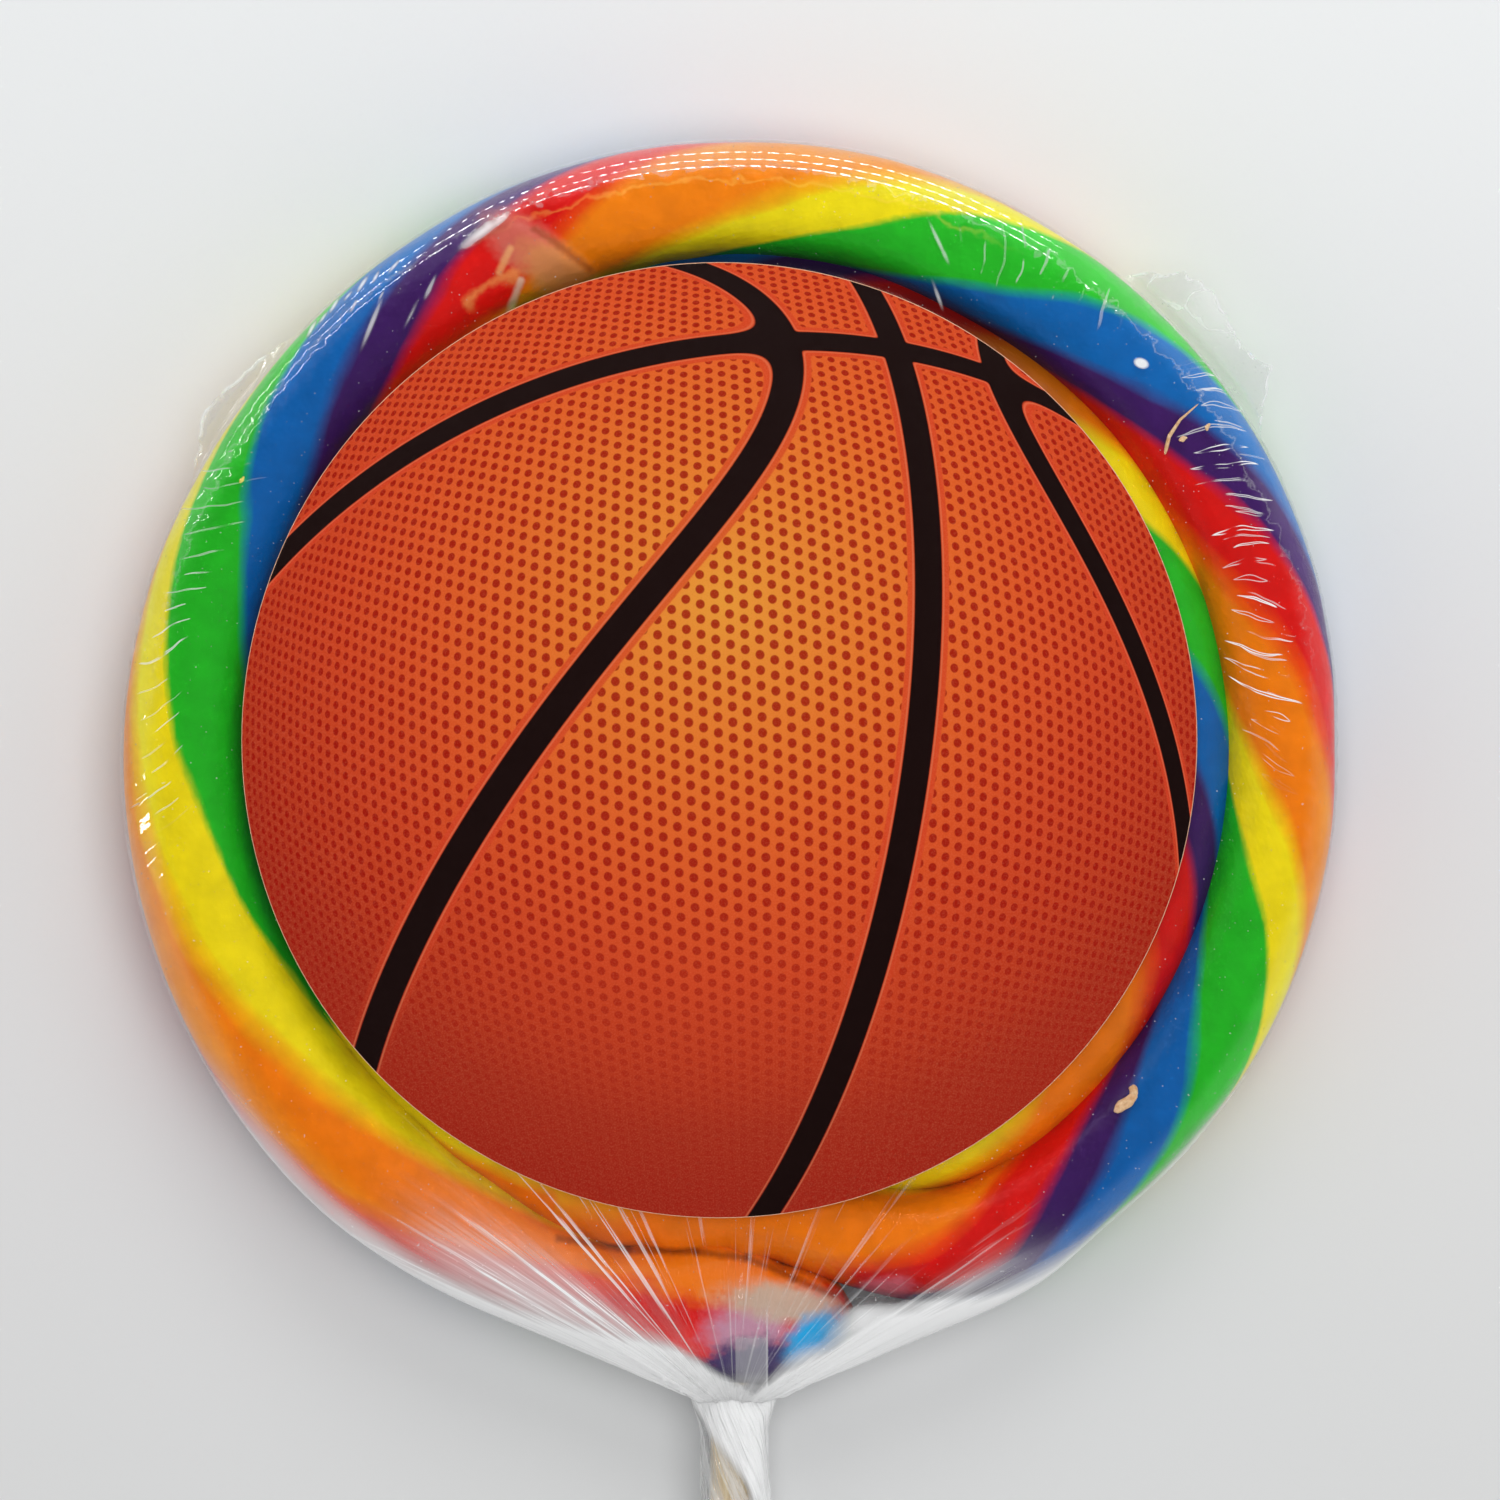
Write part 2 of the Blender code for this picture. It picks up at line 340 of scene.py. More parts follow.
def finished(name, bm, sharp_angle=60):
    """The mesh as a smooth-shaded object in the scene, measured."""
    mesh = bpy.data.meshes.new(name)
    bm.to_mesh(mesh)
    bm.free()
    mesh.shade_smooth()
    mesh.set_sharp_from_angle(angle=math.radians(sharp_angle))
    piece = bpy.data.objects.new(name, mesh)
    bpy.context.scene.collection.objects.link(piece)
    size = piece.dimensions / MM
    print(f"{name}: {len(mesh.polygons)} faces, {size.x:.1f} x {size.y:.1f} x {size.z:.1f} mm")
    return piece


# %% [markdown]
# ## The candy rope
#
# A sweet maker pulls coloured sugar into a thick rope, twists it, and coils it flat while warm.
# The middle line of the rope keeps close to a ring for most of a turn and then steps in by one
# rope width just before the stick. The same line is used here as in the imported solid.

# %% The rope's middle line
COIL_RADIUS = 35.5
TURN_PITCH = 7.7
ROPE_HEIGHT = 8.1
OUTER_END = 168
INNER_END = 1876
STEP_END = 184 + 360
STEP_SPAN = 34
OUTER_TIP = 4.4
INNER_TIP = 3.6
END_SPAN = 26
END_SHIFT = 1.4
END_SWELL = 0.2


def rope_radius(bearing):
    """Distance of the rope's middle line from the coil's middle."""
    radius = COIL_RADIUS
    for ring in range(4):
        end = STEP_END + 360 * ring
        span = STEP_SPAN * COIL_RADIUS / (COIL_RADIUS - ring * TURN_PITCH)
        radius -= TURN_PITCH * smooth_step(end - span, end, bearing)
    return radius + END_SHIFT * (1 - smooth_step(FOOT, FOOT + END_SPAN, bearing))


def on_rope_line(bearing):
    angle = math.radians(bearing)
    return Vector((math.sin(angle), math.cos(angle), 0)) * rope_radius(bearing)


# %% [markdown]
# The rope needs its corners evenly spaced along its length, so the line is first measured in
# small steps, and the table then turns a length into a bearing.

# %% Length along the rope
rope_lengths = [(0.0, OUTER_END)]
for tenth in range(OUTER_END * 10 + 5, INNER_END * 10 + 1, 5):
    before = on_rope_line(rope_lengths[-1][1])
    stride = (on_rope_line(tenth / 10) - before).length
    rope_lengths.append((rope_lengths[-1][0] + stride, tenth / 10))
ROPE_LENGTH = rope_lengths[-1][0]
bearing_lengths = [(bearing, length) for length, bearing in rope_lengths]
print(f"rope {ROPE_LENGTH:.0f} mm long")

# %% [markdown]
# ### Twist
#
# The six colours lie side by side as wedges of the rope, and the twist winds them round it. A
# point's lane is the number of whole colour cycles up to it. The twist is uneven, as it is by
# hand, so it is given by lines of equal lane: each row is a lane, the bearing where that line
# crosses the crest of the rope, and how many turns of the section it moves per degree. A lane
# anywhere on the front is then read between the two lines on either side of it.

# %% Twist lines
TWIST_LINES = [
    (-0.275, 157, 0.006), (-0.15, 163, 0.006), (0.0, 200.7, 0.0058), (0.1825, 240.4, 0.0042),
    (0.38, 268.1, 0.0054), (0.575, 296.4, 0.0084), (0.725, 314.6, 0.009), (0.85, 328.0, 0.0105),
    (1.0, 341.7, 0.0133), (1.1825, 364.4, 0.0093), (1.38, 375.3, 0.011), (1.575, 394, 0.0103),
    (1.725, 409.5, 0.0088), (1.85, 421.2, 0.009), (2.0, 436.4, 0.011), (2.1825, 457.2, 0.0135),
    (2.38, 466.3, 0.0125), (2.575, 483.3, 0.011), (2.725, 497.1, 0.0099), (2.85, 506.3, 0.0112),
    (3.0, 517.9, 0.0136), (3.1825, 552, 0.0067), (3.575, 592, 0.009), (4.0, 636, 0.0095),
    (4.575, 694, 0.0100), (4.725, 709, 0.0105), (4.85, 723, 0.0105), (5.0, 737, 0.0105),
    (5.1825, 758, 0.0105), (5.38, 772.5, 0.0105), (5.575, 791.5, 0.0105), (5.725, 806, 0.0105),
    (5.85, 816, 0.0105), (6.0, 830.4, 0.0105), (6.1825, 854, 0.009)]
INNER_TWIST_LENGTH = 42
crest_lanes = [(crest, lane) for lane, crest, slant in TWIST_LINES]


def crest_lane(bearing):
    """Colour cycles up to the crest of the rope at a bearing."""
    last_bearing, last_lane = crest_lanes[-1]
    if bearing <= last_bearing:
        return along_table(crest_lanes, bearing)
    further = along_table(bearing_lengths, bearing) - along_table(bearing_lengths, last_bearing)
    return last_lane + further / INNER_TWIST_LENGTH


def lanes_across(bearing):
    """The lines of equal lane that cross one section: turns from the crest, and lane."""
    crossings = sorted(((crest - bearing) * slant, lane) for lane, crest, slant in TWIST_LINES)
    return [crossing for crossing in crossings if abs(crossing[0]) < 0.6]


# %% [markdown]
# ### Section
#
# Neighbouring turns press flat against each other, so the section is slightly boxier than a
# circle. At the stick the soft rope was squeezed: the folded end flares inwards and the turn
# inside it bulges outwards beside the flare, so tables give the half width on each side. Slow
# noise makes the rope a little uneven, and each end is rounded off like a dome. The seam of the
# grid is at the back of the rope.

# %% Candy rope
ROPE_SIDES = 64
ROPE_STATIONS = 1160
ROPE_SQUARENESS = 2.3
UNEVENNESS = 0.035
FLARE_INWARDS = [
    (168, 3.2), (174, 3.4), (179, 5.3), (183, 5.7), (189.5, 4.5), (195, 3.35), (201, 3.2),
    (212, 3.9), (222, 4.3), (300, 4.2), (325, 3.95), (345, 3.85), (353, 3.6), (361, 3.4),
    (372, 3.4), (390, 3.8), (420, 3.9)]
FLARE_OUTWARDS = [
    (168, 4.3), (182, 4.3), (200, 4.1), (212, 4.4), (222, 4.55), (240, 4.35), (270, 4.25),
    (285, 4.0), (300, 3.65), (312, 3.6), (325, 3.7), (340, 3.95), (355, 4.05), (375, 4.2),
    (390, 4.1), (420, 4.1), (432, 3.9), (440, 3.7), (450, 3.5), (460, 3.6), (480, 3.68),
    (490, 3.55), (500, 3.45), (512, 4.1), (522, 4.25), (540, 4.3)]
TURNS_OVERLAP = 0.8
FOOT_OVERLAP = 0.9
FOOT_SPAN = ((172, 178), (185, 192))
TOP_SINK = 2.0
SINK_SPAN = ((690, 715), (745, 780))
SECOND_TURN = OUTER_END + 360


def end_rounding(length):
    from_outer = length / OUTER_TIP
    from_inner = (ROPE_LENGTH - length) / INNER_TIP
    part = min(max(min(from_outer, from_inner), 0.0), 1.0)
    return math.sqrt(1 - (1 - part) ** 2)


def slack_of(lean):
    """Turns that lean together are narrower across."""
    return TURN_PITCH / 2 * (lean - 1)


def rope_direction(bearing):
    """Across the rope, out of the coil, and how far that is from straight out."""
    along = on_rope_line(bearing + 0.1) - on_rope_line(bearing - 0.1)
    across = Vector((-along.y, along.x, 0)).normalized()
    return across, across.dot(on_rope_line(bearing).normalized())


def inward_width(bearing):
    return along_table(FLARE_INWARDS, bearing, True) + slack_of(rope_direction(bearing)[1])


class Station:
    """One cross-section of the rope."""

    def __init__(self, row):
        self.length = ROPE_LENGTH * row / ROPE_STATIONS
        self.bearing = along_table(rope_lengths, self.length)
        self.point = on_rope_line(self.bearing)
        self.across, lean = rope_direction(self.bearing)
        swell = END_SWELL * (1 - smooth_step(FOOT, FOOT + END_SPAN, self.bearing))
        self.half_height = ROPE_HEIGHT / 2 - swell
        self.scale = end_rounding(self.length)
        self.sink = TOP_SINK * plateau(self.bearing, *SINK_SPAN)
        self.lane = crest_lane(self.bearing)
        self.lanes = lanes_across(self.bearing)
        self.inwards = inward_width(self.bearing)
        self.outwards = along_table(FLARE_OUTWARDS, self.bearing, True) + slack_of(lean)
        if self.bearing > SECOND_TURN:
            outer = self.bearing - 360
            room = (rope_radius(outer) - self.point.length) * lean
            room -= inward_width(outer) * end_rounding(along_table(bearing_lengths, outer))
            room += TURNS_OVERLAP + FOOT_OVERLAP * plateau(outer, *FOOT_SPAN)
            beside = smooth_step(SECOND_TURN + 1, SECOND_TURN + 8, self.bearing)
            self.outwards = blend(self.outwards, room, beside)


stations = [Station(row) for row in range(ROPE_STATIONS + 1)]
print(f"{len(stations)} stations, {ROPE_LENGTH / ROPE_STATIONS:.2f} mm apart")

# %% [markdown]
# At the upper left the soft rope was folded on itself for a moment, which left a short slanting
# crease: the rope swells a little before it and drops behind it.

# %% Crease
CREASE_START = Vector((-12.9, 33.7))
CREASE_END = Vector((-9.4, 31.2))
CREASE_SPAN = ((-1.1, 0.1), (0.9, 1.8))
CREASE_EDGE = (-0.35, 0.25)
CREASE_REACH = (-6, 5)
CREASE_DROP = 0.75
DROP_LENGTH = 1.5
CREASE_SWELL = 0.15
SWELL_LENGTH = 1.6


def crease_lift(x, y):
    """Height of the swelling and the drop on the two sides of the crease."""
    run = CREASE_END - CREASE_START
    place = Vector((x, y)) - CREASE_START
    part = place.dot(run) / run.length_squared
    behind = (place.x * -run.y + place.y * run.x) / run.length
    if not CREASE_REACH[0] <= behind <= CREASE_REACH[1]:
        return 0.0
    drop = CREASE_DROP * math.exp(-max(behind, 0.0) / DROP_LENGTH) * smooth_step(*CREASE_EDGE, behind)
    swell = CREASE_SWELL * math.exp(min(behind, 0.0) / SWELL_LENGTH)
    return plateau(part, *CREASE_SPAN) * (swell - drop)


# %% [markdown]
# A corner of the rope's grid is a turn round the section and a station along the line. Its mark,
# kept in a UV map, is its lane and its length along the rope, which the stripes are painted from.

# %% Rope corners
FRONT_EDGE = (0.27, 0.42)
LAST_TWIST = (850, 880)


def rope_corner(column, row):
    station = stations[row]
    angle = math.tau * (column / ROPE_SIDES - 0.25)
    power = 2 / ROPE_SQUARENESS
    out = math.copysign(abs(math.cos(angle)) ** power, math.cos(angle))
    up = math.copysign(abs(math.sin(angle)) ** power, math.sin(angle))
    uneven = 1 + UNEVENNESS * ripple(station.length / 9, math.cos(angle), math.sin(angle))
    half_width = station.outwards if out > 0 else station.inwards
    offset = station.across * (out * half_width * station.scale * min(uneven, 1.0))
    offset.z = up * station.half_height * station.scale * uneven
    place = station.point + offset
    if up > 0:
        place.z += crease_lift(place.x, place.y) * up - station.sink * up
    return MIDDLE + place


def rope_mark(column, row):
    """Lane of the twist, and metres along the rope."""
    station = stations[row]
    turn = column / ROPE_SIDES - 0.5
    lane = station.lane + turn
    front = 1 - smooth_step(*FRONT_EDGE, abs(turn))
    front *= 1 - smooth_step(*LAST_TWIST, station.bearing)
    if front and len(station.lanes) > 1:
        lane = blend(lane, along_table(station.lanes, turn), front)
    return lane, station.length * MM


candy_rope = rolled_grid("candy_rope", ROPE_SIDES, ROPE_STATIONS, rope_corner, rope_mark)
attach(candy_rope, "root")
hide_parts("candy_coil")

# %% [markdown]
# ### Candy finish
#
# A ramp over the lane gives the six colours their widths. Pulled sugar doesn't part cleanly, so
# the borders are feathered by noise stretched along the rope. In two places the rope shows what
# is under its skin: at the folded outer end, where the pale core, purple and blue come through,
# and at the crease, where cream and red were smeared together. Those are soft ovals and lines at
# places on the piece, and noise frays their edges.

# %% Candy stripes
candy = Finish("pulled_sugar")
lane, rope_metres, _ = candy.parts(candy.node("UVMap", {"uv_map": "pattern"}))
candy_place = candy.place(MIDDLE)
x, y, _ = candy.parts(candy_place)
streaks = candy.noise(candy.join(lane * 9, rope_metres * 60, 0), 1.0, 4.0, 0.6) - 0.5
drift = candy.noise(candy_place, 0.16, 2.0) - 0.5
wandering = lane + streaks * 0.06 + drift * 0.02
cycle = wandering - wandering.math("FLOOR")
RED, RED_ORANGE, ORANGE, YELLOW = (224, 12, 6), (240, 66, 2), (254, 128, 0), (252, 228, 10)
GREEN, BLUE, PURPLE = (32, 186, 32), (2, 97, 176), (58, 20, 92)
stripes = candy.ramp(cycle, [
    (0.0, RED_ORANGE), (0.035, ORANGE), (0.15, ORANGE), (0.215, YELLOW), (0.366, YELLOW),
    (0.392, GREEN), (0.556, GREEN), (0.594, BLUE), (0.705, BLUE), (0.745, PURPLE),
    (0.83, PURPLE), (0.87, RED), (0.965, RED), (1.0, RED_ORANGE)])
cloudy = candy.noise(candy_place, 0.5, 2.0)
shade = candy.ramp(cloudy, [(0.3, (236, 236, 236)), (0.7, (255, 255, 255))])
colour = candy.mix(stripes, shade, 1.0, "MULTIPLY")

# %% [markdown]
# Sugar is slightly clear and glows where light comes in from the side. Here that glow is painted
# light: the colour is painted lighter at the outer rim and on the half that faces the soft box. In
# the groove beside the card it is painted darker, as painted shade. A ragged bright line along the
# upper rim, where the film begins to touch the candy, is a painted highlight.

# %% Painted light at the rim, painted shade in the groove
from_middle = plan_length(x, y)
# Painted light: a lighter copy of the colour, laid on the outer rim and on the lit half.
painted_lit_colour = candy.mix(colour, colour, 1.0, "SCREEN")
lit_side = (y + x * 0.5).step(0, 40) * 0.2
colour = candy.mix(colour, painted_lit_colour, (from_middle.step(36.6, 39.2) * 0.75 + lit_side).clip())
# Painted highlight: a ragged bright line along the upper rim.
painted_rim_highlight = (from_middle + (candy.noise(candy_place, 0.7, 2.0) - 0.5) * 1.6).hill(36.9, 0.2)
painted_rim_highlight = painted_rim_highlight * (y / from_middle).step(0.86, 0.95) * 0.45
colour = candy.mix(colour, candy.mix(painted_lit_colour, linear((255, 200, 96)), 0.5), painted_rim_highlight)
# Painted shade: the colour is darkened in the groove beside the card.
painted_groove_shade = from_middle.step(33.6, 31.2) * (y / from_middle).step(0.55, 0.9) * x.step(-14.0, -6.0)
groove_shaded_colour = candy.mix(colour, linear((110, 96, 90)), 1.0, "MULTIPLY")
colour = candy.mix(colour, groove_shaded_colour, painted_groove_shade * 0.85)

# %% [markdown]
# The smeared colours are ovals from a table: colour, middle, half width, half height, turn in
# degrees, softness and strength. The pink oval to the right of the folded end is not a smear. It is
# a painted glossy highlight. Lines add the thin threads at the crease. A dark line along the crease
# is painted shadow, and a chain of lines paints the shade in the fold where the outer end of the
# rope lies over the turn inside it.

# %% Folded end and crease colours, with painted highlight and painted shade
SMEARS = [
    ((196, 150, 176), (0.9, -37.6), 2.7, 1.9, 0, 0.5, 0.9),
    ((246, 128, 14), (0.0, -33.7), 6.6, 1.9, 0, 0.4, 0.9),
    ((200, 176, 156), (3.4, -35.7), 4.0, 1.2, -8, 0.5, 0.95),
    ((52, 20, 98), (2.3, -40.2), 4.6, 2.2, 0, 0.3, 1.0),
    ((0, 172, 236), (5.3, -38.2), 2.2, 1.6, 40, 0.4, 1.0),
    # Painted glossy highlight: the pink oval to the right of the folded end.
    ((238, 122, 140), (9.7, -34.9), 1.8, 0.9, 8, 0.4, 0.75),
    ((206, 112, 96), (-13.4, 32.6), 3.2, 1.5, -35, 0.4, 0.75),
    ((224, 150, 84), (-11.6, 31.0), 2.5, 1.6, -35, 0.4, 0.7)]
FOLD_SHADE_LINE = [(-11.4, -31.5), (-6.9, -32.3), (-2.5, -32.4), (0.8, -32.8), (3.8, -34.1), (6.4, -35.2)]
fray = candy.noise(candy_place, 0.8, 2.0) - 0.5
fine_fray = candy.noise(candy_place, 2.6, 1.0) - 0.5


def smear(under, paint, distance, soft, strength=1.0, frayed=0.6):
    """Paint over a colour where a distance is below 1, with a soft, frayed edge."""
    reach = distance + fray * frayed + fine_fray * (frayed / 2)
    return candy.mix(under, linear(paint), reach.step(1 + soft, 1 - soft) * strength)


for paint, middle, half_width, half_height, turn, soft, strength in SMEARS:
    oval = from_oval(x, y, middle, half_width, half_height, turn)
    colour = smear(colour, paint, oval, soft, strength)
colour = smear(colour, (250, 150, 80), from_line(x, y, (-14.4, 30.5), (-17.0, 29.0)) / 0.55, 0.5, 0.75, 1.0)
colour = smear(colour, (232, 10, 4), from_oval(x, y, (-15.5, 29.2), 1.6, 0.8, 30), 0.4, 1.0, 0.8)
colour = smear(colour, (246, 188, 120), from_line(x, y, (-14.5, 32.4), (-15.2, 30.9)) / 0.2, 0.9, 0.55)
colour = smear(colour, (248, 226, 204), from_line(x, y, (-13.8, 30.4), (-14.7, 28.2)) / 0.2, 0.8, 0.6, 1.0)
# Painted shadow: a dark line along the crease.
crease_shadow_line = from_line(x, y, CREASE_START, CREASE_END) + fine_fray * 0.25
colour = candy.mix(colour, linear((150, 62, 10)), crease_shadow_line.step(0.45, 0.0) * 0.6)
# Painted shade: a dark chain of lines in the fold under the rope's outer end.
for start, end in zip(FOLD_SHADE_LINE, FOLD_SHADE_LINE[1:]):
    painted_fold_shade = from_line(x, y, start, end) + fine_fray * 0.2
    colour = candy.mix(colour, linear((120, 44, 8)), painted_fold_shade.step(0.42, 0.0) * 0.6)

# %% [markdown]
# The candy itself is nearly matt, because the shine that is seen belongs to the film. A fine
# grain along the rope and shallow dimples keep its light from being too even.

# %% Candy material
grain = candy.noise(candy.join(lane * 40, rope_metres * 900, 0), 1.0, 1.0)
dimples = candy.noise(candy_place, 1.4, 1.0)
surface_height = candy.bump(grain * 0.3 + dimples, 0.12, 0.6)
candy_rope.data.materials.append(candy.done(candy.shader(
    Base_Color=colour, Roughness=0.38 + dimples * 0.12, Specular_IOR_Level=0.25,
    Coat_Weight=0.08, Coat_Roughness=0.2, Normal=surface_height)))

# %% [markdown]
# ## The clear film
#
# The bag is drawn tight over the coil: flat on the front and back, rounded over the rim, with a
# short skirt that runs straight to the neck on the stick. It is made as one skin, a grid rolled
# from the middle of the back, over the rim, to the middle of the front. The columns are bearings,
# closer together near the neck where the film is pleated.

# %% Film outline
NECK_DROP = 42.2
NECK_HALF = 2.2
RIM_RADIUS = BAG_RADIUS - 0.15
FILM_GAP = 0.12
ROPE_EDGE_SPAN = (212, 512)
ROUND_FROM = 36
NECK_ANGLE = math.degrees(math.atan2(NECK_HALF, NECK_DROP))
NECK_TANGENT = NECK_ANGLE + math.degrees(math.acos(RIM_RADIUS / math.hypot(NECK_HALF, NECK_DROP)))


def bag_outline(from_foot):
    """Reach of the tight bag at an angle from the foot: neck, straight skirt, or round the rope."""
    away = abs(from_foot)
    if away <= NECK_ANGLE:
        return NECK_DROP / math.cos(math.radians(away))
    if away <= NECK_TANGENT:
        return RIM_RADIUS / math.cos(math.radians(NECK_TANGENT - away))
    first_turn = min(max(FOOT + from_foot % 360, ROPE_EDGE_SPAN[0]), ROPE_EDGE_SPAN[1])
    rope_edge = COIL_RADIUS + along_table(FLARE_OUTWARDS, first_turn, True)
    return blend(RIM_RADIUS, rope_edge + FILM_GAP, smooth_step(NECK_TANGENT, ROUND_FROM, away))


print(f"the skirt leaves the rim {NECK_TANGENT:.1f} degrees from the stick")

# %% [markdown]
# The bag's welded corners stand out from the rim as thin, ragged ears: a big one at the upper
# right, a small one at the upper left. Each is a sharp rise of the skin at the rim's middle.

# %% Ears of the bag
EAR_REACH = [
    (-64, 0), (-62, 0.5), (-60, 1.1), (-57.7, 1.9), (-54.8, 1.5), (-52, 1.1), (-49, 0.6), (-46, 0),
    (39, 0), (41, 1.6), (43, 2.8), (45.7, 3.9), (47.5, 3.3), (49.4, 3.0), (51, 2.7), (53, 3.0),
    (54.4, 3.3), (56, 2.2), (57.8, 0.8), (59.5, 0)]
EAR_THICKNESS = 0.16
EAR_RAGGEDNESS = 0.22
EDGE_HEIGHT = 0.55


def ear_reach(bearing):
    """How far the welded edge stands out of the rim."""
    reach = along_table(EAR_REACH, (bearing + 180) % 360 - 180)
    return max(reach, 0.0) * (0.92 + EAR_RAGGEDNESS * ripple(bearing * 0.8, 7.0))


def ear_rise(height):
    """Part of the ear's reach at a height from the middle of the rim."""
    return math.exp(-(height / EAR_THICKNESS) ** 2)


# %% [markdown]
# A column of the film's grid is a bearing, and the columns are closest where the film wrinkles. A
# row is a zone of the bag (its flat, its rounded shoulder or the edge of the rim), how far the row
# is through that zone, and its side, front or back. The back gets every second row.

# %% Film columns and rows
FILM_ARCS = [(214, 100), (250, 70), (336, 430), (388, 110), (470, 400), (506, 60), (540, 100)]
BAG_HALF_HEIGHT = 4.5
CREST = COIL_RADIUS
FRONT_STEPS = [0, 0.5, 0.75, 0.85, 0.91, 0.95, 0.98, 1.0]
SHOULDER_ROWS = 26
EDGE_ROWS = 6

column_bearings = []
arc_start = FOOT
for arc_end, arc_columns in FILM_ARCS:
    for column in range(arc_columns):
        column_bearings.append(blend(arc_start, arc_end, column / arc_columns))
    arc_start = arc_end
column_bearings.append(arc_start)

front_rows = ([("flat", part) for part in FRONT_STEPS]
              + [("shoulder", step / SHOULDER_ROWS) for step in range(1, SHOULDER_ROWS + 1)]
              + [("edge", 1 - step / EDGE_ROWS) for step in range(1, EDGE_ROWS + 1)])
back_rows = front_rows[:-1][::2]
film_rows = [(zone, part, 1) for zone, part in front_rows]
film_rows += [(zone, part, -1) for zone, part in reversed(back_rows)]
print(f"film grid {len(column_bearings) - 1} x {len(film_rows) - 1}")

# %% [markdown]
# Where it turns over the rim, tight film wrinkles crosswise, most at the two sides, where it had
# the most to give. Near the neck it is gathered in pleats that fan out. Both are real ripples of
# the skin, and they fade towards the front and where the film is tight. A slack side has four
# values: the bearings where it rises, where it eases and by how much, and where it ends.

# %% Film skin
SLACK_SIDES = [((26, 46), (92, 112), 0.6, (125, 145)), ((246, 268), (304, 324), 0.95, (348, 356))]
SLACK_LEAN = {1: 0.5, -1: 0.8}
BROAD_WRINKLE = 0.08
NARROW_WRINKLE = 0.015
WRINKLED_FROM = (34.2, 36.4)
SKIN_WAVE = 0.0012
SKIN_JITTER = 0.0008
JITTER_SPAN = ((296, 312), (336, 346))
PLEAT_HEIGHT = 0.22
PLEAT_START = 1.5
PLEAT_REACH = (3, 17)
PLEAT_REACH_SPREAD = 6


def side_slack(bearing):
    """0 where the film is tight, 1 where it wrinkles over the rim."""
    turn = bearing % 360
    return max(plateau(turn, rise, fall) * (1 - smooth_step(*ease, turn) * eased)
               for rise, ease, eased, fall in SLACK_SIDES)


def film_ripple(bearing, out, height):
    """Push of the skin along its normal, in millimetres."""
    arc = math.radians(bearing) * BAG_RADIUS
    side = math.copysign(1, math.sin(math.radians(bearing)))
    across = arc - side * SLACK_LEAN[side] * (out - CREST)
    along = out - height * 0.6
    wrinkle = BROAD_WRINKLE * ripple(across / 0.85, along / 3.2, 5.0 + side)
    wrinkle += NARROW_WRINKLE * ripple(across / 0.62, along / 3.0, 9.0 + side)
    push = side_slack(bearing) * wrinkle * smooth_step(*WRINKLED_FROM, out)
    push += SKIN_WAVE * ripple(arc / 3.1, out / 8, height / 8)
    jitter = plateau(bearing % 360, *JITTER_SPAN)
    return push + SKIN_JITTER * jitter * ripple(arc / 1.7, out / 0.5, 2.0)


def pleat(x, y):
    """Folds that fan out of the neck: the push at a place in the plan."""
    up = y + NECK_DROP + PLEAT_START
    reach = math.hypot(x, up)
    turn = math.degrees(math.atan2(x, up))
    end = PLEAT_REACH[1] + PLEAT_REACH_SPREAD * ripple(turn / 9, 2.0)
    fade = 1 - smooth_step(PLEAT_REACH[0], end, reach)
    fold = ripple(turn / 3.2, 4.0) + 0.6 * ripple(turn / 1.4, 9.0)
    return PLEAT_HEIGHT * fade * fold


# %% [markdown]
# A section of the bag is part of a superellipse, squarer on the front than on the back. Towards
# the neck the section is pinched: it gets pointed, and its edge opens into the height of the
# neck. Ears, wrinkles and pleats are then added to the plain section. An ear isn't quite flat:
# it has two waves, each with a height, a rate round the rim, a rate outwards and a seed.

# %% Film corners
FRONT_SQUARENESS = 2.7
BACK_SQUARENESS = 2.4
NECK_SQUARENESS = 1.35
NECK_HEIGHT = 1.75
PINCH_MARGIN = 3
FLAT_FROM = (0.8, 1.0)
EAR_LEAST = 0.02
EAR_WAVES = [(0.06, 0.16, 0.35, 11.0), (0.03, 0.5, 0.9, 4.0)]


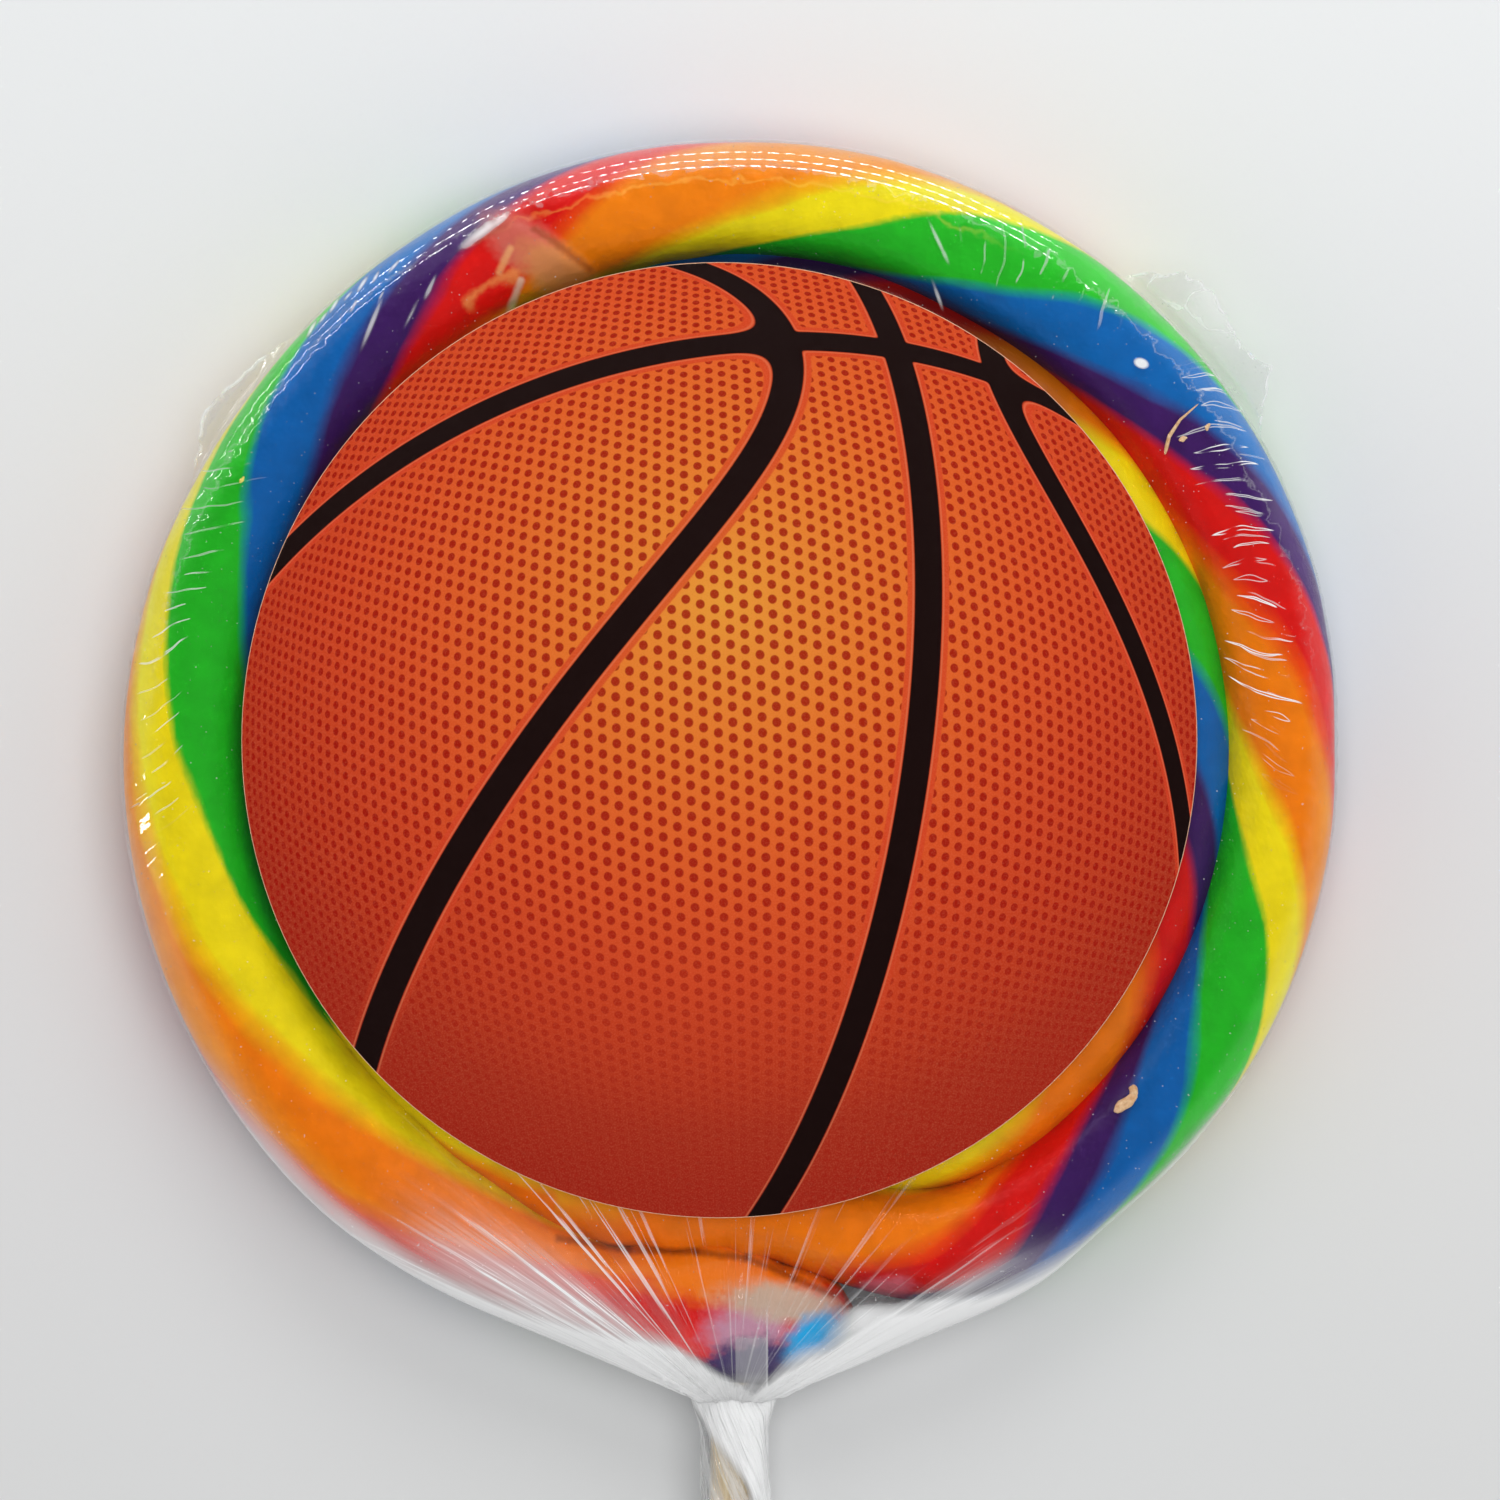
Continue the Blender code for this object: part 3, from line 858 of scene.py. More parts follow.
def film_corner(column, row):
    bearing = column_bearings[column]
    zone, part, side = film_rows[row]
    from_foot = (bearing - FOOT + 180) % 360 - 180
    outline = bag_outline(from_foot)
    pinch = smooth_step(NECK_TANGENT + PINCH_MARGIN, NECK_ANGLE, abs(from_foot))
    angle = math.radians(bearing)
    way = Vector((math.sin(angle), math.cos(angle), 0))
    depth = outline - CREST
    squareness = blend(FRONT_SQUARENESS if side > 0 else BACK_SQUARENESS, NECK_SQUARENESS, pinch)
    edge_height = max(EDGE_HEIGHT, NECK_HEIGHT * pinch)
    if zone == "flat":
        out = CREST * part
        height = BAG_HALF_HEIGHT
        normal = Vector((0, 0, 1))
    else:
        if zone == "shoulder":
            turn = part * math.pi / 2
            out = CREST + depth * math.sin(turn) ** (2 / squareness)
            curve = math.cos(turn) ** (2 / squareness) if part < 1 else 0.0
            height = edge_height + (BAG_HALF_HEIGHT - edge_height) * curve
        else:
            out = outline
            height = edge_height * part
        normal = way * ((out - CREST) / depth) ** 2
        normal.z = height / BAG_HALF_HEIGHT
        normal.normalize()
    push = film_ripple(bearing, out, height * side)
    push += pleat(way.x * out, way.y * out)
    if zone == "flat":
        push *= smooth_step(*FLAT_FROM, part)
    fin = ear_reach(bearing) * ear_rise(height)
    lift = 0.0
    if fin > EAR_LEAST:
        for wave, round_rate, out_rate, seed in EAR_WAVES:
            lift += wave * fin * ripple(bearing * round_rate, fin * out_rate, seed)
    skin = way * (out + fin) + normal * push
    skin.z = (height + normal.z * push) * side + lift
    return MIDDLE + skin


def film_mark(column, row):
    """How far up the ear a corner is, from 0 to 1, and the ear's reach in metres."""
    zone, part, side = film_rows[row]
    up = ear_rise(part * EDGE_HEIGHT) if zone == "edge" else 0.0
    return up, ear_reach(column_bearings[column]) * MM


film_bag = rolled_grid(
    "film_bag", len(column_bearings) - 1, len(film_rows) - 1, film_corner, film_mark)
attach(film_bag, "root")
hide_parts("film_wrap")

# %% [markdown]
# ### Film finish
#
# A clear film is seen only by what it reflects, so the surface is a mix of nothing (Transparent)
# and a mirror-like shader. The mixing part is small head-on and rises at a slant, as for any
# clear plastic. Stretched and folded film also turns milky: fine streaks fan out of the neck,
# and the rim and the ears have a pale veil. There the shader is white, not mirror-like. So every
# cell below works out one part of the haze, a number from 0 to 1, and they are added at the end.
# Some parts of the haze are painted light, not milky film: the glints on the rim's creases, some
# strokes, a gloss fleck, and part of the pale patch beside the candy's tip.

# %% Film material
MIRROR_HEAD_ON = 0.036
FILM_BUMP = 0.5


def film_finish(finish, haze, height, roughness=0.025):
    """Adds the clear film's shader to a finish whose haze and bump are known."""
    slant = finish.node("LayerWeight", None, {"Blend": 0.5}, output=1)
    mirror = slant ** 5 * (1 - MIRROR_HEAD_ON) + MIRROR_HEAD_ON
    gloss = finish.shader(
        Base_Color=(0.98, 0.985, 0.99, 1), Metallic=(1 - haze * 5).clip(),
        Roughness=roughness, Normal=finish.bump(height, FILM_BUMP))
    nothing = finish.node("BsdfTransparent")
    shown = {0: (mirror + haze).clip(), 1: nothing, 2: gloss}
    return finish.done(finish.node("MixShader", None, shown))


clear = Finish("clear_film")
film_place = clear.place(MIDDLE)
x, y, z = clear.parts(film_place)
reach = plan_length(x, y)
bearing_x = x / reach
bearing_y = y / reach

# %% [markdown]
# Over the rim the film has fine crosswise wrinkles between the big ones, and it touches the
# candy only inside a ragged line, so outside that line it looks paler.

# %% Rim of the film
FINE_LEAN = 0.6
TOUCHING = 37.7
slant_side = bearing_x.math("SIGN") * (reach - CREST) * FINE_LEAN / BAG_RADIUS
turned_x = bearing_x - bearing_y * slant_side
turned_y = bearing_y + bearing_x * slant_side
around = clear.join(turned_x * BAG_RADIUS, turned_y * BAG_RADIUS, (reach + z) * 0.16)
fine_wrinkles = clear.noise(around, 1.1, 1.0, 0.55)
slack_right = bearing_x.step(0.45, 0.75) * bearing_y.step(-0.75, -0.2)
slack_left = (-bearing_x).step(0.45, 0.75) * bearing_y.step(-0.5, 0.1)
slack = (slack_right + slack_left).clip() * reach.step(34.0, 36.5)
ragged = reach + (clear.noise(film_place, 0.9, 3.0, 0.6) - 0.5) * 2.2
upper = bearing_y.step(-0.1, 0.6)
rim_veil = ragged.step(TOUCHING - 0.1, TOUCHING + 0.2) * upper * (x.hill(-4.0, 16.0) * 0.09 + 0.03)
rim_line = ragged.hill(TOUCHING, 0.16) * upper * 0.16
broad_veil = clear.noise(film_place, 0.11, 1.0).step(0.42, 0.68) * reach.step(37.2, 39.3) * 0.08

# %% [markdown]
# At the two sides the slack film is folded over the rim in narrow, pointed creases, and their
# glints are painted: each is drawn in the white haze as the outline of a leaf, a painted highlight.
# The length round the rim is cut into cells, one glint to a cell, and random numbers for the cell
# move it in or out and set its length, width and strength. The cells lean, because the film was
# pulled to the neck.
# Two rows lie over each other at the right, and the first of them comes in closer to the card on
# its way down. One row is at the upper right, and one at the left.

# %% Painted glints on the creases of the rim
rim_angle = x.math("ARCTAN2", y)
wander = (clear.noise(film_place, 0.2, 0.0) - 0.5) * 2.6
wander += (clear.noise(film_place, 0.9, 0.0) - 0.5) * 0.3
worn = clear.noise(film_place, 0.7, 0.0).step(0.30, 0.50)


def chance(cell, seed):
    """A random number from 0 to 1 that belongs to a cell."""
    return clear.node("TexWhiteNoise", {"noise_dimensions": "1D"}, {"W": cell + seed})


def crease_glints(seed, lean, pitch, middle, spread, half_length, half_width, line):
    """One row of painted glint outlines: middle is their distance from the coil's middle, give or take
    spread.
    """
    across = rim_angle * BAG_RADIUS - (reach - CREST) * lean + wander
    cell = (across / pitch).math("FLOOR")
    off = across - (cell + 0.5) * pitch
    along = reach - middle - (chance(cell, seed) - 0.5) * spread
    part = along / ((chance(cell, seed + 0.5) * 0.9 + 0.4) * half_length)
    leaf = 1 - part * part
    wide = leaf * (chance(cell, seed + 0.7) * 1.5 + 0.3) * half_width
    white = chance(cell, seed + 0.9) * 0.8 + 0.35
    return abs(abs(off) - wide).step(line, line * 0.3) * leaf.step(-0.2, 0.15) * white


left_angle = -rim_angle
right_middle = (46.15 - rim_angle * 8.7).math("MAXIMUM", 34.6)
# Painted highlights: white glint outlines on the rim's creases at the right, upper right and left.
right_crease_glints = crease_glints(10, 0.5, 1.35, right_middle, 1.6, 1.8, 0.15, 0.055)
right_crease_glints += crease_glints(20, 0.6, 2.3, right_middle + 0.6, 2.2, 1.2, 0.05, 0.05) * 0.5
right_crease_glints *= rim_angle.plateau((0.84, 0.92), (1.40, 1.70))
upper_crease_glints = crease_glints(40, -0.4, 1.6, 36.9, 1.8, 1.8, 0.03, 0.10)
upper_crease_glints *= rim_angle.plateau((0.36, 0.48), (0.66, 0.78))
left_crease_glints = crease_glints(30, -0.8, 1.5, 37.2, 1.6, 1.35, 0.03, 0.06)
left_crease_glints *= left_angle.plateau((0.98, 1.12), (1.60, 1.75))

# %% [markdown]
# Here and there the film has one short white stroke. Some are scratches where it was nipped. The
# short ones in the row at the upper left, beside the folded crease of the candy, are painted
# glints. Each stroke is a thin oval, from a table: middle, half length, half width, turn in
# degrees and strength. Most lie in that row at the upper left.

# %% Strokes: scratches and painted glints
STROKES = [
    ((13.1, 32.9), 2.1, 0.22, -65, 0.45), ((13.1, 29.3), 1.3, 0.22, -70, 0.4),
    ((-16.3, 33.5), 2.7, 0.55, 36, 0.8), ((-15.0, 34.3), 1.0, 0.35, 40, 0.4),
    ((-23.4, 27.6), 2.7, 0.28, 68, 0.5), ((-19.6, 30.0), 1.2, 0.22, 65, 0.4),
    ((-20.9, 28.1), 1.4, 0.2, 63, 0.25), ((-27.4, 27.2), 0.9, 0.2, 62, 0.7),
    ((-26.6, 28.0), 0.7, 0.16, 55, 0.6), ((-25.9, 28.8), 0.9, 0.2, 60, 0.75),
    ((-25.0, 29.4), 0.6, 0.15, 50, 0.6), ((-24.1, 30.1), 0.9, 0.2, 58, 0.75),
    ((-23.2, 30.6), 0.7, 0.18, 62, 0.7), ((-24.6, 28.7), 0.8, 0.15, 66, 0.5),
    ((-22.0, 31.3), 0.9, 0.18, 50, 0.7), ((-22.8, 29.4), 0.6, 0.14, 60, 0.4)]
strokes = 0
for middle, half_length, half_width, turn, white in STROKES:
    stroke = from_oval(x, y, middle, half_length, half_width, turn) + (worn - 0.5) * 0.2
    strokes = stroke.step(1.0, 0.1) * white + strokes
# Painted highlight: a small gloss fleck at the upper right.
gloss_fleck = from_oval(x, y, (26.2, 25.0), 0.5, 0.33, -20).step(1.2, 0.6) * 0.9
painted_glints_and_scratches = (right_crease_glints * 0.9 + upper_crease_glints * 0.25 + left_crease_glints * 0.5) * worn
painted_glints_and_scratches = painted_glints_and_scratches + strokes + gloss_fleck

# %% [markdown]
# Streaks fan out of the neck: noise that is stretched away from it. They are dense and white in
# the two arms along the skirt, and only a few thin ones cross the candy between them, beside one
# straight folded strip. Between the arms the bag's mouth is a white V. Light that comes in low
# would make the arms solid white from the side, so their white fades towards the back.

# %% Fan of the neck
FAN_DROP = 43.2
FAN_RATE = 14.0
MOUTH = (1.3, -41.9)
MOUTH_SLOPE = 0.66
neck_y = y + FAN_DROP
neck_reach = plan_length(x, neck_y)
neck_turn = x.math("ARCTAN2", neck_y)
fan_turn = neck_turn * FAN_RATE
fan_cells = clear.join(fan_turn, neck_reach * 0.02, 3.0)
fan_fine = clear.noise(fan_cells, 3.2, 3.0, 0.65)
fan_broad = clear.noise(fan_cells, 0.7, 1.0, 0.5)
fan_length = clear.noise(clear.join(fan_turn, 9.0, 0.0), 1.3, 1.0)
fan_fade = (neck_reach / (fan_length * 38.0)).step(1.0, 0.25)
to_left = (-neck_turn).step(0.25, 0.75)
line_fade = (neck_reach / (fan_length * 50.0)).step(1.0, 0.45)
fan_lines = fan_fine.step(0.56, 0.65) * line_fade * (to_left * 0.38 + 0.20)
arm_right = neck_turn.step(0.92, 1.12) * neck_reach.step(27.0, 9.0)
arm_left = (-neck_turn).step(0.72, 1.10) * neck_reach.step(30.0, 8.0)
from_above = z.step(-0.5, 2.5) * 0.5 + 0.5
fan_arms = (arm_right + arm_left) * (fan_fine.step(0.32, 0.62) * 0.5 + 0.5) * from_above
mouth_line = y - abs(x - MOUTH[0]) * MOUTH_SLOPE - MOUTH[1]
fan_mouth = mouth_line.step(0.5, -0.4) * neck_reach.step(9.0, 4.0) * (fan_broad * 0.4 + 0.65)
patchy = fan_broad.step(0.3, 0.6)
left_veil = (-neck_turn).hill(0.85, 0.5) * neck_reach.step(21.0, 5.0) * patchy * 0.2
right_veil = neck_turn.hill(0.95, 0.35) * neck_reach.step(17.0, 9.0) * patchy * 0.10
skirt = reach.step(38.2, 39.6) * y.step(-18.0, -27.0) * abs(neck_turn).step(0.62, 0.85)
skirt = skirt * from_above * 0.55

# %% [markdown]
# The folded strip is a faint grey with one bright edge, and brighter where nothing but the mouth
# lies under it. To the right of the candy's tip the film hangs free and is painted milky there:
# partly the film's haze, and partly painted light that hides the shadow on the floor under it.

# %% Strip, and painted light at the tip
strip = x.plateau((-0.7, -0.4), (2.1, 2.15)) * y.step(-31.5, -33.5) * 0.03
strip_edge = x.hill(2.08, 0.10) * y.step(-35.0, -38.0) * 0.4
strip_glow = x.plateau((0.0, 0.1), (2.0, 2.1)) * y.step(-37.6, -38.0) * 0.22
# Partly milky film, partly painted light that hides the shadow on the floor beside the candy's tip.
tip_haze_and_painted_light = from_oval(x, y, (9.0, -37.6), 3.2, 1.9).step(1.2, 0.5) * 0.42
below_candy = (y - x * 0.1 + 36.9).step(0.5, -0.1)
tip_haze_and_painted_light += below_candy * x.plateau((6.5, 8.5), (13.0, 19.0)) * 0.35
fan = (fan_lines + fan_arms + fan_mouth + left_veil + right_veil + strip + strip_edge + strip_glow
       + skirt + tip_haze_and_painted_light)

# %% [markdown]
# The ears are faintly folded and have a white welded outline, which is worn in places. A little
# dust and the bare film's own trace of haze end the list.

# %% Ears and dust
BARE_HAZE = 0.002
ear = (reach - BAG_RADIUS).step(0.1, 0.6)
ear_folds = clear.noise(clear.join(x, y, 0), 0.22, 2.0)
ear_up, ear_metres, _ = clear.parts(clear.node("UVMap", {"uv_map": "pattern"}))
from_ear_edge = (1 - ear_up) * ear_metres * (1 / MM)
ear_outline = from_ear_edge.step(0.28, 0.08) * (ear_metres * (1 / MM)).step(0.3, 0.8)
ear_outline = ear_outline * clear.noise(film_place, 1.2, 0.0).step(0.35, 0.6)
ear_haze = ear * (abs(ear_folds - 0.5).step(0.010, 0.0) * 0.15 + 0.09) + ear_outline * 0.55
dust = clear.noise(film_place, 6.0, 0.0).step(0.78, 0.86) * 0.25
haze = (fan + rim_veil + rim_line + broad_veil + painted_glints_and_scratches + ear_haze + dust + BARE_HAZE).clip()
film_height = fine_wrinkles * slack * 0.06 + fan_fine * fan_fade * 0.3 + ear * ear_folds * 0.06
film_bag.data.materials.append(film_finish(clear, haze, film_height))

# %% [markdown]
# ## The film's tail
#
# Below the neck the film is shrunk on the stick for a short way. It is a thin double skin: the
# grid runs down the outside, round the lower edge and back up the inside, where its ends meet.
# Twisted pleats run round it. Its upper end widens to meet the bag's mouth and is flatter there.

# %% Film tail
TAIL_START = -41.0
TAIL_OUTSIDE = 2.12
TAIL_INSIDE = 1.68
TAIL_COLUMNS = 112
TAIL_ROWS = 120
TAIL_TWIST = math.radians(150)
TAIL_PLEATS = 5
PLEAT_DEPTH = 0.26
TAIL_END_ROOM = 0.3
TAIL_END_RAGGEDNESS = 0.5
FLARE_SPAN = (-44.3, -41.8)
FLARE_WIDTH = 1.05
FLATTER_SPAN = (-43.3, -42.0)
FLATTER_BY = 0.22


def tail_pleat(turn, down):
    """Fold of the gathered film, from 0 to about 1, at a turn round the stick."""
    twist = turn + TAIL_TWIST * down
    fold = 0.5 + 0.5 * math.cos(TAIL_PLEATS * twist + 2 * ripple(down * 5, 1.0))
    fine = abs(ripple(math.cos(twist) * 2.2, math.sin(twist) * 2.2, down * 1.2))
    return 0.65 * fold + 0.5 * fine


def tail_corner(column, row):
    turn = math.tau * column / TAIL_COLUMNS
    loop = 2 * (row % TAIL_ROWS) / TAIL_ROWS
    inside = loop > 1
    down = 2 - loop if inside else loop
    ragged_end = TAIL_END_RAGGEDNESS * ripple(math.cos(turn), math.sin(turn), 8.0)
    lower_end = film_low.y - MIDDLE.y + TAIL_END_ROOM + ragged_end
    along = blend(TAIL_START, lower_end, down)
    wide = tall = TAIL_INSIDE
    if not inside:
        thick = math.sin(math.pi * down) ** 0.15 if 0 < down < 1 else 0.0
        wide += (TAIL_OUTSIDE - TAIL_INSIDE + PLEAT_DEPTH * tail_pleat(turn, down)) * thick
        flare = (along - FLARE_SPAN[0]) / (FLARE_SPAN[1] - FLARE_SPAN[0])
        tall = wide - FLATTER_BY * smooth_step(*FLATTER_SPAN, along)
        wide += FLARE_WIDTH * min(max(flare, 0.0), 1.0) ** 1.4 * thick
    return MIDDLE + Vector((wide * math.sin(turn), along, tall * math.cos(turn)))


film_tail = rolled_grid("film_tail", TAIL_COLUMNS, TAIL_ROWS, tail_corner)
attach(film_tail, "root")
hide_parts("film_wrap")

# %% [markdown]
# The tail's film is many layers deep, so most of it is white: in the folds, on the side of the
# seam, and above a slanting line where the mouth's edge is wrapped over the stick.

# %% Tail material
gathered = Finish("gathered_film")
x, y, z = gathered.parts(gathered.place(MIDDLE))
turn = x.math("ARCTAN2", z)
slope = turn + y * 0.19
folds = gathered.noise(gathered.join(slope.math("SINE") * 2.2, slope.math("COSINE") * 2.2, y * 0.05),
                       1.6, 4.0, 0.62)
lines = folds.step(0.47, 0.60)
wrapped = (y + x * 1.33).step(-47.0, -45.5)
seam_side = x.step(0.7, 1.5)
back = z.step(0.3, -0.3)
tail_haze = (lines * 0.30 + wrapped * 0.85 + seam_side * 0.6 + back * 0.4 + 0.03).clip()
film_tail.data.materials.append(film_finish(gathered, tail_haze, folds, 0.15))

# %% [markdown]
# ## Crumbs
#
# A few crumbs of sugar, one of them a thin curved splinter, cling to the outside of the film. The
# crumbs are small balls pressed flat and made uneven by noise. The splinter is a rolled grid that
# follows a short curve, and its radius shrinks to nothing at both ends.

# %% Crumbs
CRUMBS = [
    (28.9, 20.1, 0.30, 0.16, 20), (30.5, 20.9, 0.24, 0.14, 60),
    (25.2, -22.7, 0.95, 0.36, 38), (25.7, -21.9, 0.42, 0.30, 110), (-31.8, 17.5, 0.28, 0.13, 50)]
CRUMB_SINK = 0.5
CRUMB_FLATNESS = 0.6
CRUMB_UNEVENNESS = 0.12
SPLINTER_X = [(0, 29.9), (0.35, 28.7), (0.7, 28.0), (1, 27.7)]
SPLINTER_Y = [(0, 22.4), (0.35, 21.35), (0.7, 20.3), (1, 19.1)]
SPLINTER_SIDEWAYS = Vector((0.76, -0.65, 0))
SPLINTER_RADII = (0.05, 0.17)
SPLINTER_LIFT = 0.14
SPLINTER_COLUMNS = 12
SPLINTER_ROWS = 40


def film_top(x, y):
    """Height of the film's front at a place in the plan."""
    part = min(max(math.hypot(x, y) - CREST, 0) / (RIM_RADIUS - CREST), 0.95)
    curve = (1 - part ** FRONT_SQUARENESS) ** (1 / FRONT_SQUARENESS)
    return EDGE_HEIGHT + (BAG_HALF_HEIGHT - EDGE_HEIGHT) * curve


bm = bmesh.new()
for x, y, half_length, half_width, turn in CRUMBS:
    stand = (Matrix.Translation(Vector((x, y, film_top(x, y) + half_width * CRUMB_SINK)))
             @ Matrix.Rotation(math.radians(turn), 4, "Z")
             @ Matrix.Diagonal((half_length, half_width, half_width * CRUMB_FLATNESS, 1)))
    bmesh.ops.create_icosphere(bm, subdivisions=3, radius=1, matrix=stand)
for corner in bm.verts:
    push = ripple(corner.co.x * 4, corner.co.y * 4, corner.co.z * 4)
    corner.co = MIDDLE + corner.co + corner.normal * push * CRUMB_UNEVENNESS
bmesh.ops.scale(bm, verts=bm.verts, vec=(MM,) * 3)
sugar_crumbs = finished("sugar_crumbs", bm)


def splinter_corner(column, row):
    part = row / SPLINTER_ROWS
    x, y = along_table(SPLINTER_X, part), along_table(SPLINTER_Y, part)
    radius = blend(*SPLINTER_RADII, part) * math.sqrt(max(1 - (2 * part - 1) ** 6, 0.0))
    turn = math.tau * column / SPLINTER_COLUMNS
    out = SPLINTER_SIDEWAYS * math.cos(turn) + Vector((0, 0, 1)) * math.sin(turn)
    return MIDDLE + Vector((x, y, film_top(x, y) + SPLINTER_LIFT)) + out * radius


sugar_splinter = rolled_grid("sugar_splinter", SPLINTER_COLUMNS, SPLINTER_ROWS, splinter_corner)

# %% Loose sugar
sugar = Finish("loose_sugar")
sugar_place = sugar.place(MIDDLE)
x, _, _ = sugar.parts(sugar_place)
crystal = sugar.noise(sugar_place, 3.0, 3.0)
tan = sugar.ramp(crystal, [(0.3, (206, 152, 104)), (0.7, (240, 206, 164))])
tan = sugar.mix(tan, linear((236, 220, 110)), x.step(0.0, -5.0))
sugar_finish = sugar.done(sugar.shader(
    Base_Color=tan, Roughness=0.45 + crystal * 0.2, Normal=sugar.bump(crystal, 0.1, 0.6)))
for crumb in (sugar_crumbs, sugar_splinter):
    crumb.data.materials.append(sugar_finish)
    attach(crumb, "root")

# %% [markdown]
# ## The stick
#
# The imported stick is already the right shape, so it only gets its finish: pale birch, with a
# fine grain stretched along the dowel and a few darker pores.

# %% Birch material
birch = Finish("birch_wood")
x, y, z = birch.parts(birch.place(Vector((MIDDLE.x, 0, MIDDLE.z))))
fibres = birch.noise(birch.join(x * 2.4, y * 0.06, z * 2.4), 1.0, 4.0, 0.6)
pores = birch.noise(birch.join(x * 7.0, y * 0.25, z * 7.0), 1.0, 2.0).step(0.60, 0.70)
wood = birch.ramp(fibres, [
    (0.3, (214, 190, 150)), (0.55, (232, 212, 174)), (0.75, (242, 226, 196))])
wood = birch.mix(wood, linear((176, 142, 100)), pores * 0.5)
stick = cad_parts["stick"]
stick.data.materials.clear()
stick.data.materials.append(birch.done(birch.shader(
    Base_Color=wood, Roughness=0.55 + fibres * 0.2,
    Normal=birch.bump(fibres + pores * -0.4, 0.1, 0.6))))

# %% [markdown]
# ## The printed card
#
# A round of card lies on the film. It starts as a filled circle that is inset in rings, so that
# it can be warped a little, is thickened, and has its cut edges eased. Its upper right edge lifts
# off the film by a fraction of a millimetre.

# %% Card
CARD_THICKNESS = 0.32
CARD_SIDES = 180
CARD_RINGS = 12
CARD_SHRINK = 0.02
CARD_WAVE = 0.10
CARD_LIFT = 0.10
CARD_HEADROOM = 0.12
EDGE_EASE = 0.05


def card_warp(x, y):
    """Lift of the card off the film."""
    edge = math.hypot(x, y) / CARD_RADIUS
    to_corner = smooth_step(0.3, 1.2, (0.75 * x + 0.65 * y) / CARD_RADIUS)
    return CARD_WAVE * ripple(x / 22, y / 22, 3.0) * edge + CARD_LIFT * to_corner


bm = bmesh.new()
bmesh.ops.create_circle(
    bm, cap_ends=True, segments=CARD_SIDES, radius=CARD_RADIUS - CARD_SHRINK)
for ring in range(CARD_RINGS):
    inner = [max(bm.faces, key=lambda face: len(face.verts))]
    bmesh.ops.inset_region(bm, faces=inner, thickness=CARD_RADIUS / (CARD_RINGS + 1),
                           use_even_offset=True)
for face in bm.faces:
    if face.normal.z < 0:
        face.normal_flip()
sheet = bmesh.ops.extrude_face_region(bm, geom=list(bm.faces))["geom"]
top = [item for item in sheet if isinstance(item, bmesh.types.BMVert)]
bmesh.ops.translate(bm, verts=top, vec=(0, 0, CARD_THICKNESS))
bmesh.ops.recalc_face_normals(bm, faces=bm.faces)
rims = [edge for edge in bm.edges if edge.calc_face_angle(0) > 1]
bmesh.ops.bevel(bm, geom=rims, offset=EDGE_EASE, offset_type="OFFSET", affect="EDGES",
                segments=2, profile=0.5, material=-1)
for face in bm.faces:
    face.material_index = 0 if face.normal.z > 0.95 else 1
card_bottom = card_high.z - CARD_THICKNESS - CARD_HEADROOM
for corner in bm.verts:
    corner.co.z += card_bottom + card_warp(corner.co.x, corner.co.y)
    corner.co += Vector((CARD_MIDDLE.x, CARD_MIDDLE.y, 0))
bmesh.ops.scale(bm, verts=bm.verts, vec=(MM,) * 3)
print_round = finished("print_round", bm, 30)
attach(print_round, "root")
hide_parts("print_card")

# %% [markdown]
# ### Ball print
#
# The print is the common ball pattern, drawn by geometry. A place on the round is a point on a
# sphere; two planes through the sphere's middle cut the two long seams, and a bent curve on each
# side of the first plane cuts a side seam. The distance to the nearest seam gives the dark line,
# its thin pale outline and a plain margin without dots.

# %% Print material
BALL_RADIUS = 35.84
BALL_SHIFT = Vector((-1.56, -2.30, 0))
SEAM_PLANE = (0.9077, -0.1552, -0.3898)
CROSS_PLANE = (-0.2157, 0.6241, -0.751)
SIDE_SEAM = (0.211, 1.2908, -0.3686)
SEAM_HALF = 0.0272
SEAM_SOFTNESS = 0.0015
SEAM_ROUNDING = 0.01
OUTLINE_HALF = 0.003
MARGIN_SPAN = (SEAM_HALF + 0.012, SEAM_HALF + 0.016)

ball = Finish("ball_print")
card_place = ball.place(CARD_MIDDLE)
x, y, _ = ball.parts(card_place)
ball_x = (x - BALL_SHIFT.x) / BALL_RADIUS
ball_y = (y - BALL_SHIFT.y) / BALL_RADIUS
ball_z = (1 - ball_x * ball_x - ball_y * ball_y).math("MAXIMUM", 0.0).math("SQRT")


def off_plane(plane):
    return ball_x * plane[0] + ball_y * plane[1] + ball_z * plane[2]


off_seam = off_plane(SEAM_PLANE)
off_cross = off_plane(CROSS_PLANE)
cross_square = off_cross * off_cross
bend = cross_square * SIDE_SEAM[1] + cross_square * cross_square * SIDE_SEAM[2] + SIDE_SEAM[0]
bend_slope = off_cross * (cross_square * (4 * SIDE_SEAM[2]) + 2 * SIDE_SEAM[1])
to_side = abs(abs(off_seam) - bend) / (bend_slope * bend_slope + 1).math("SQRT")
to_long = abs(off_seam).math("SMOOTH_MIN", abs(off_cross), SEAM_ROUNDING)
outside = (abs(off_seam) - bend).step(-0.01, 0.02)
to_seam = to_long.math("SMOOTH_MIN", to_side, outside * 0.09 + 0.012)
seam = to_seam.step(SEAM_HALF + SEAM_SOFTNESS, SEAM_HALF - SEAM_SOFTNESS)
outline = to_seam.hill(SEAM_HALF + OUTLINE_HALF, OUTLINE_HALF)
margin = to_seam.step(MARGIN_SPAN[1], MARGIN_SPAN[0])

# %% [markdown]
# The pebbled skin is a grid of dots. It bulges as on a ball: a dot's place is read from a grid
# that gets finer away from its middle, by a polynomial in the squared distance. Each column is
# shifted a third of a step against the one before it.

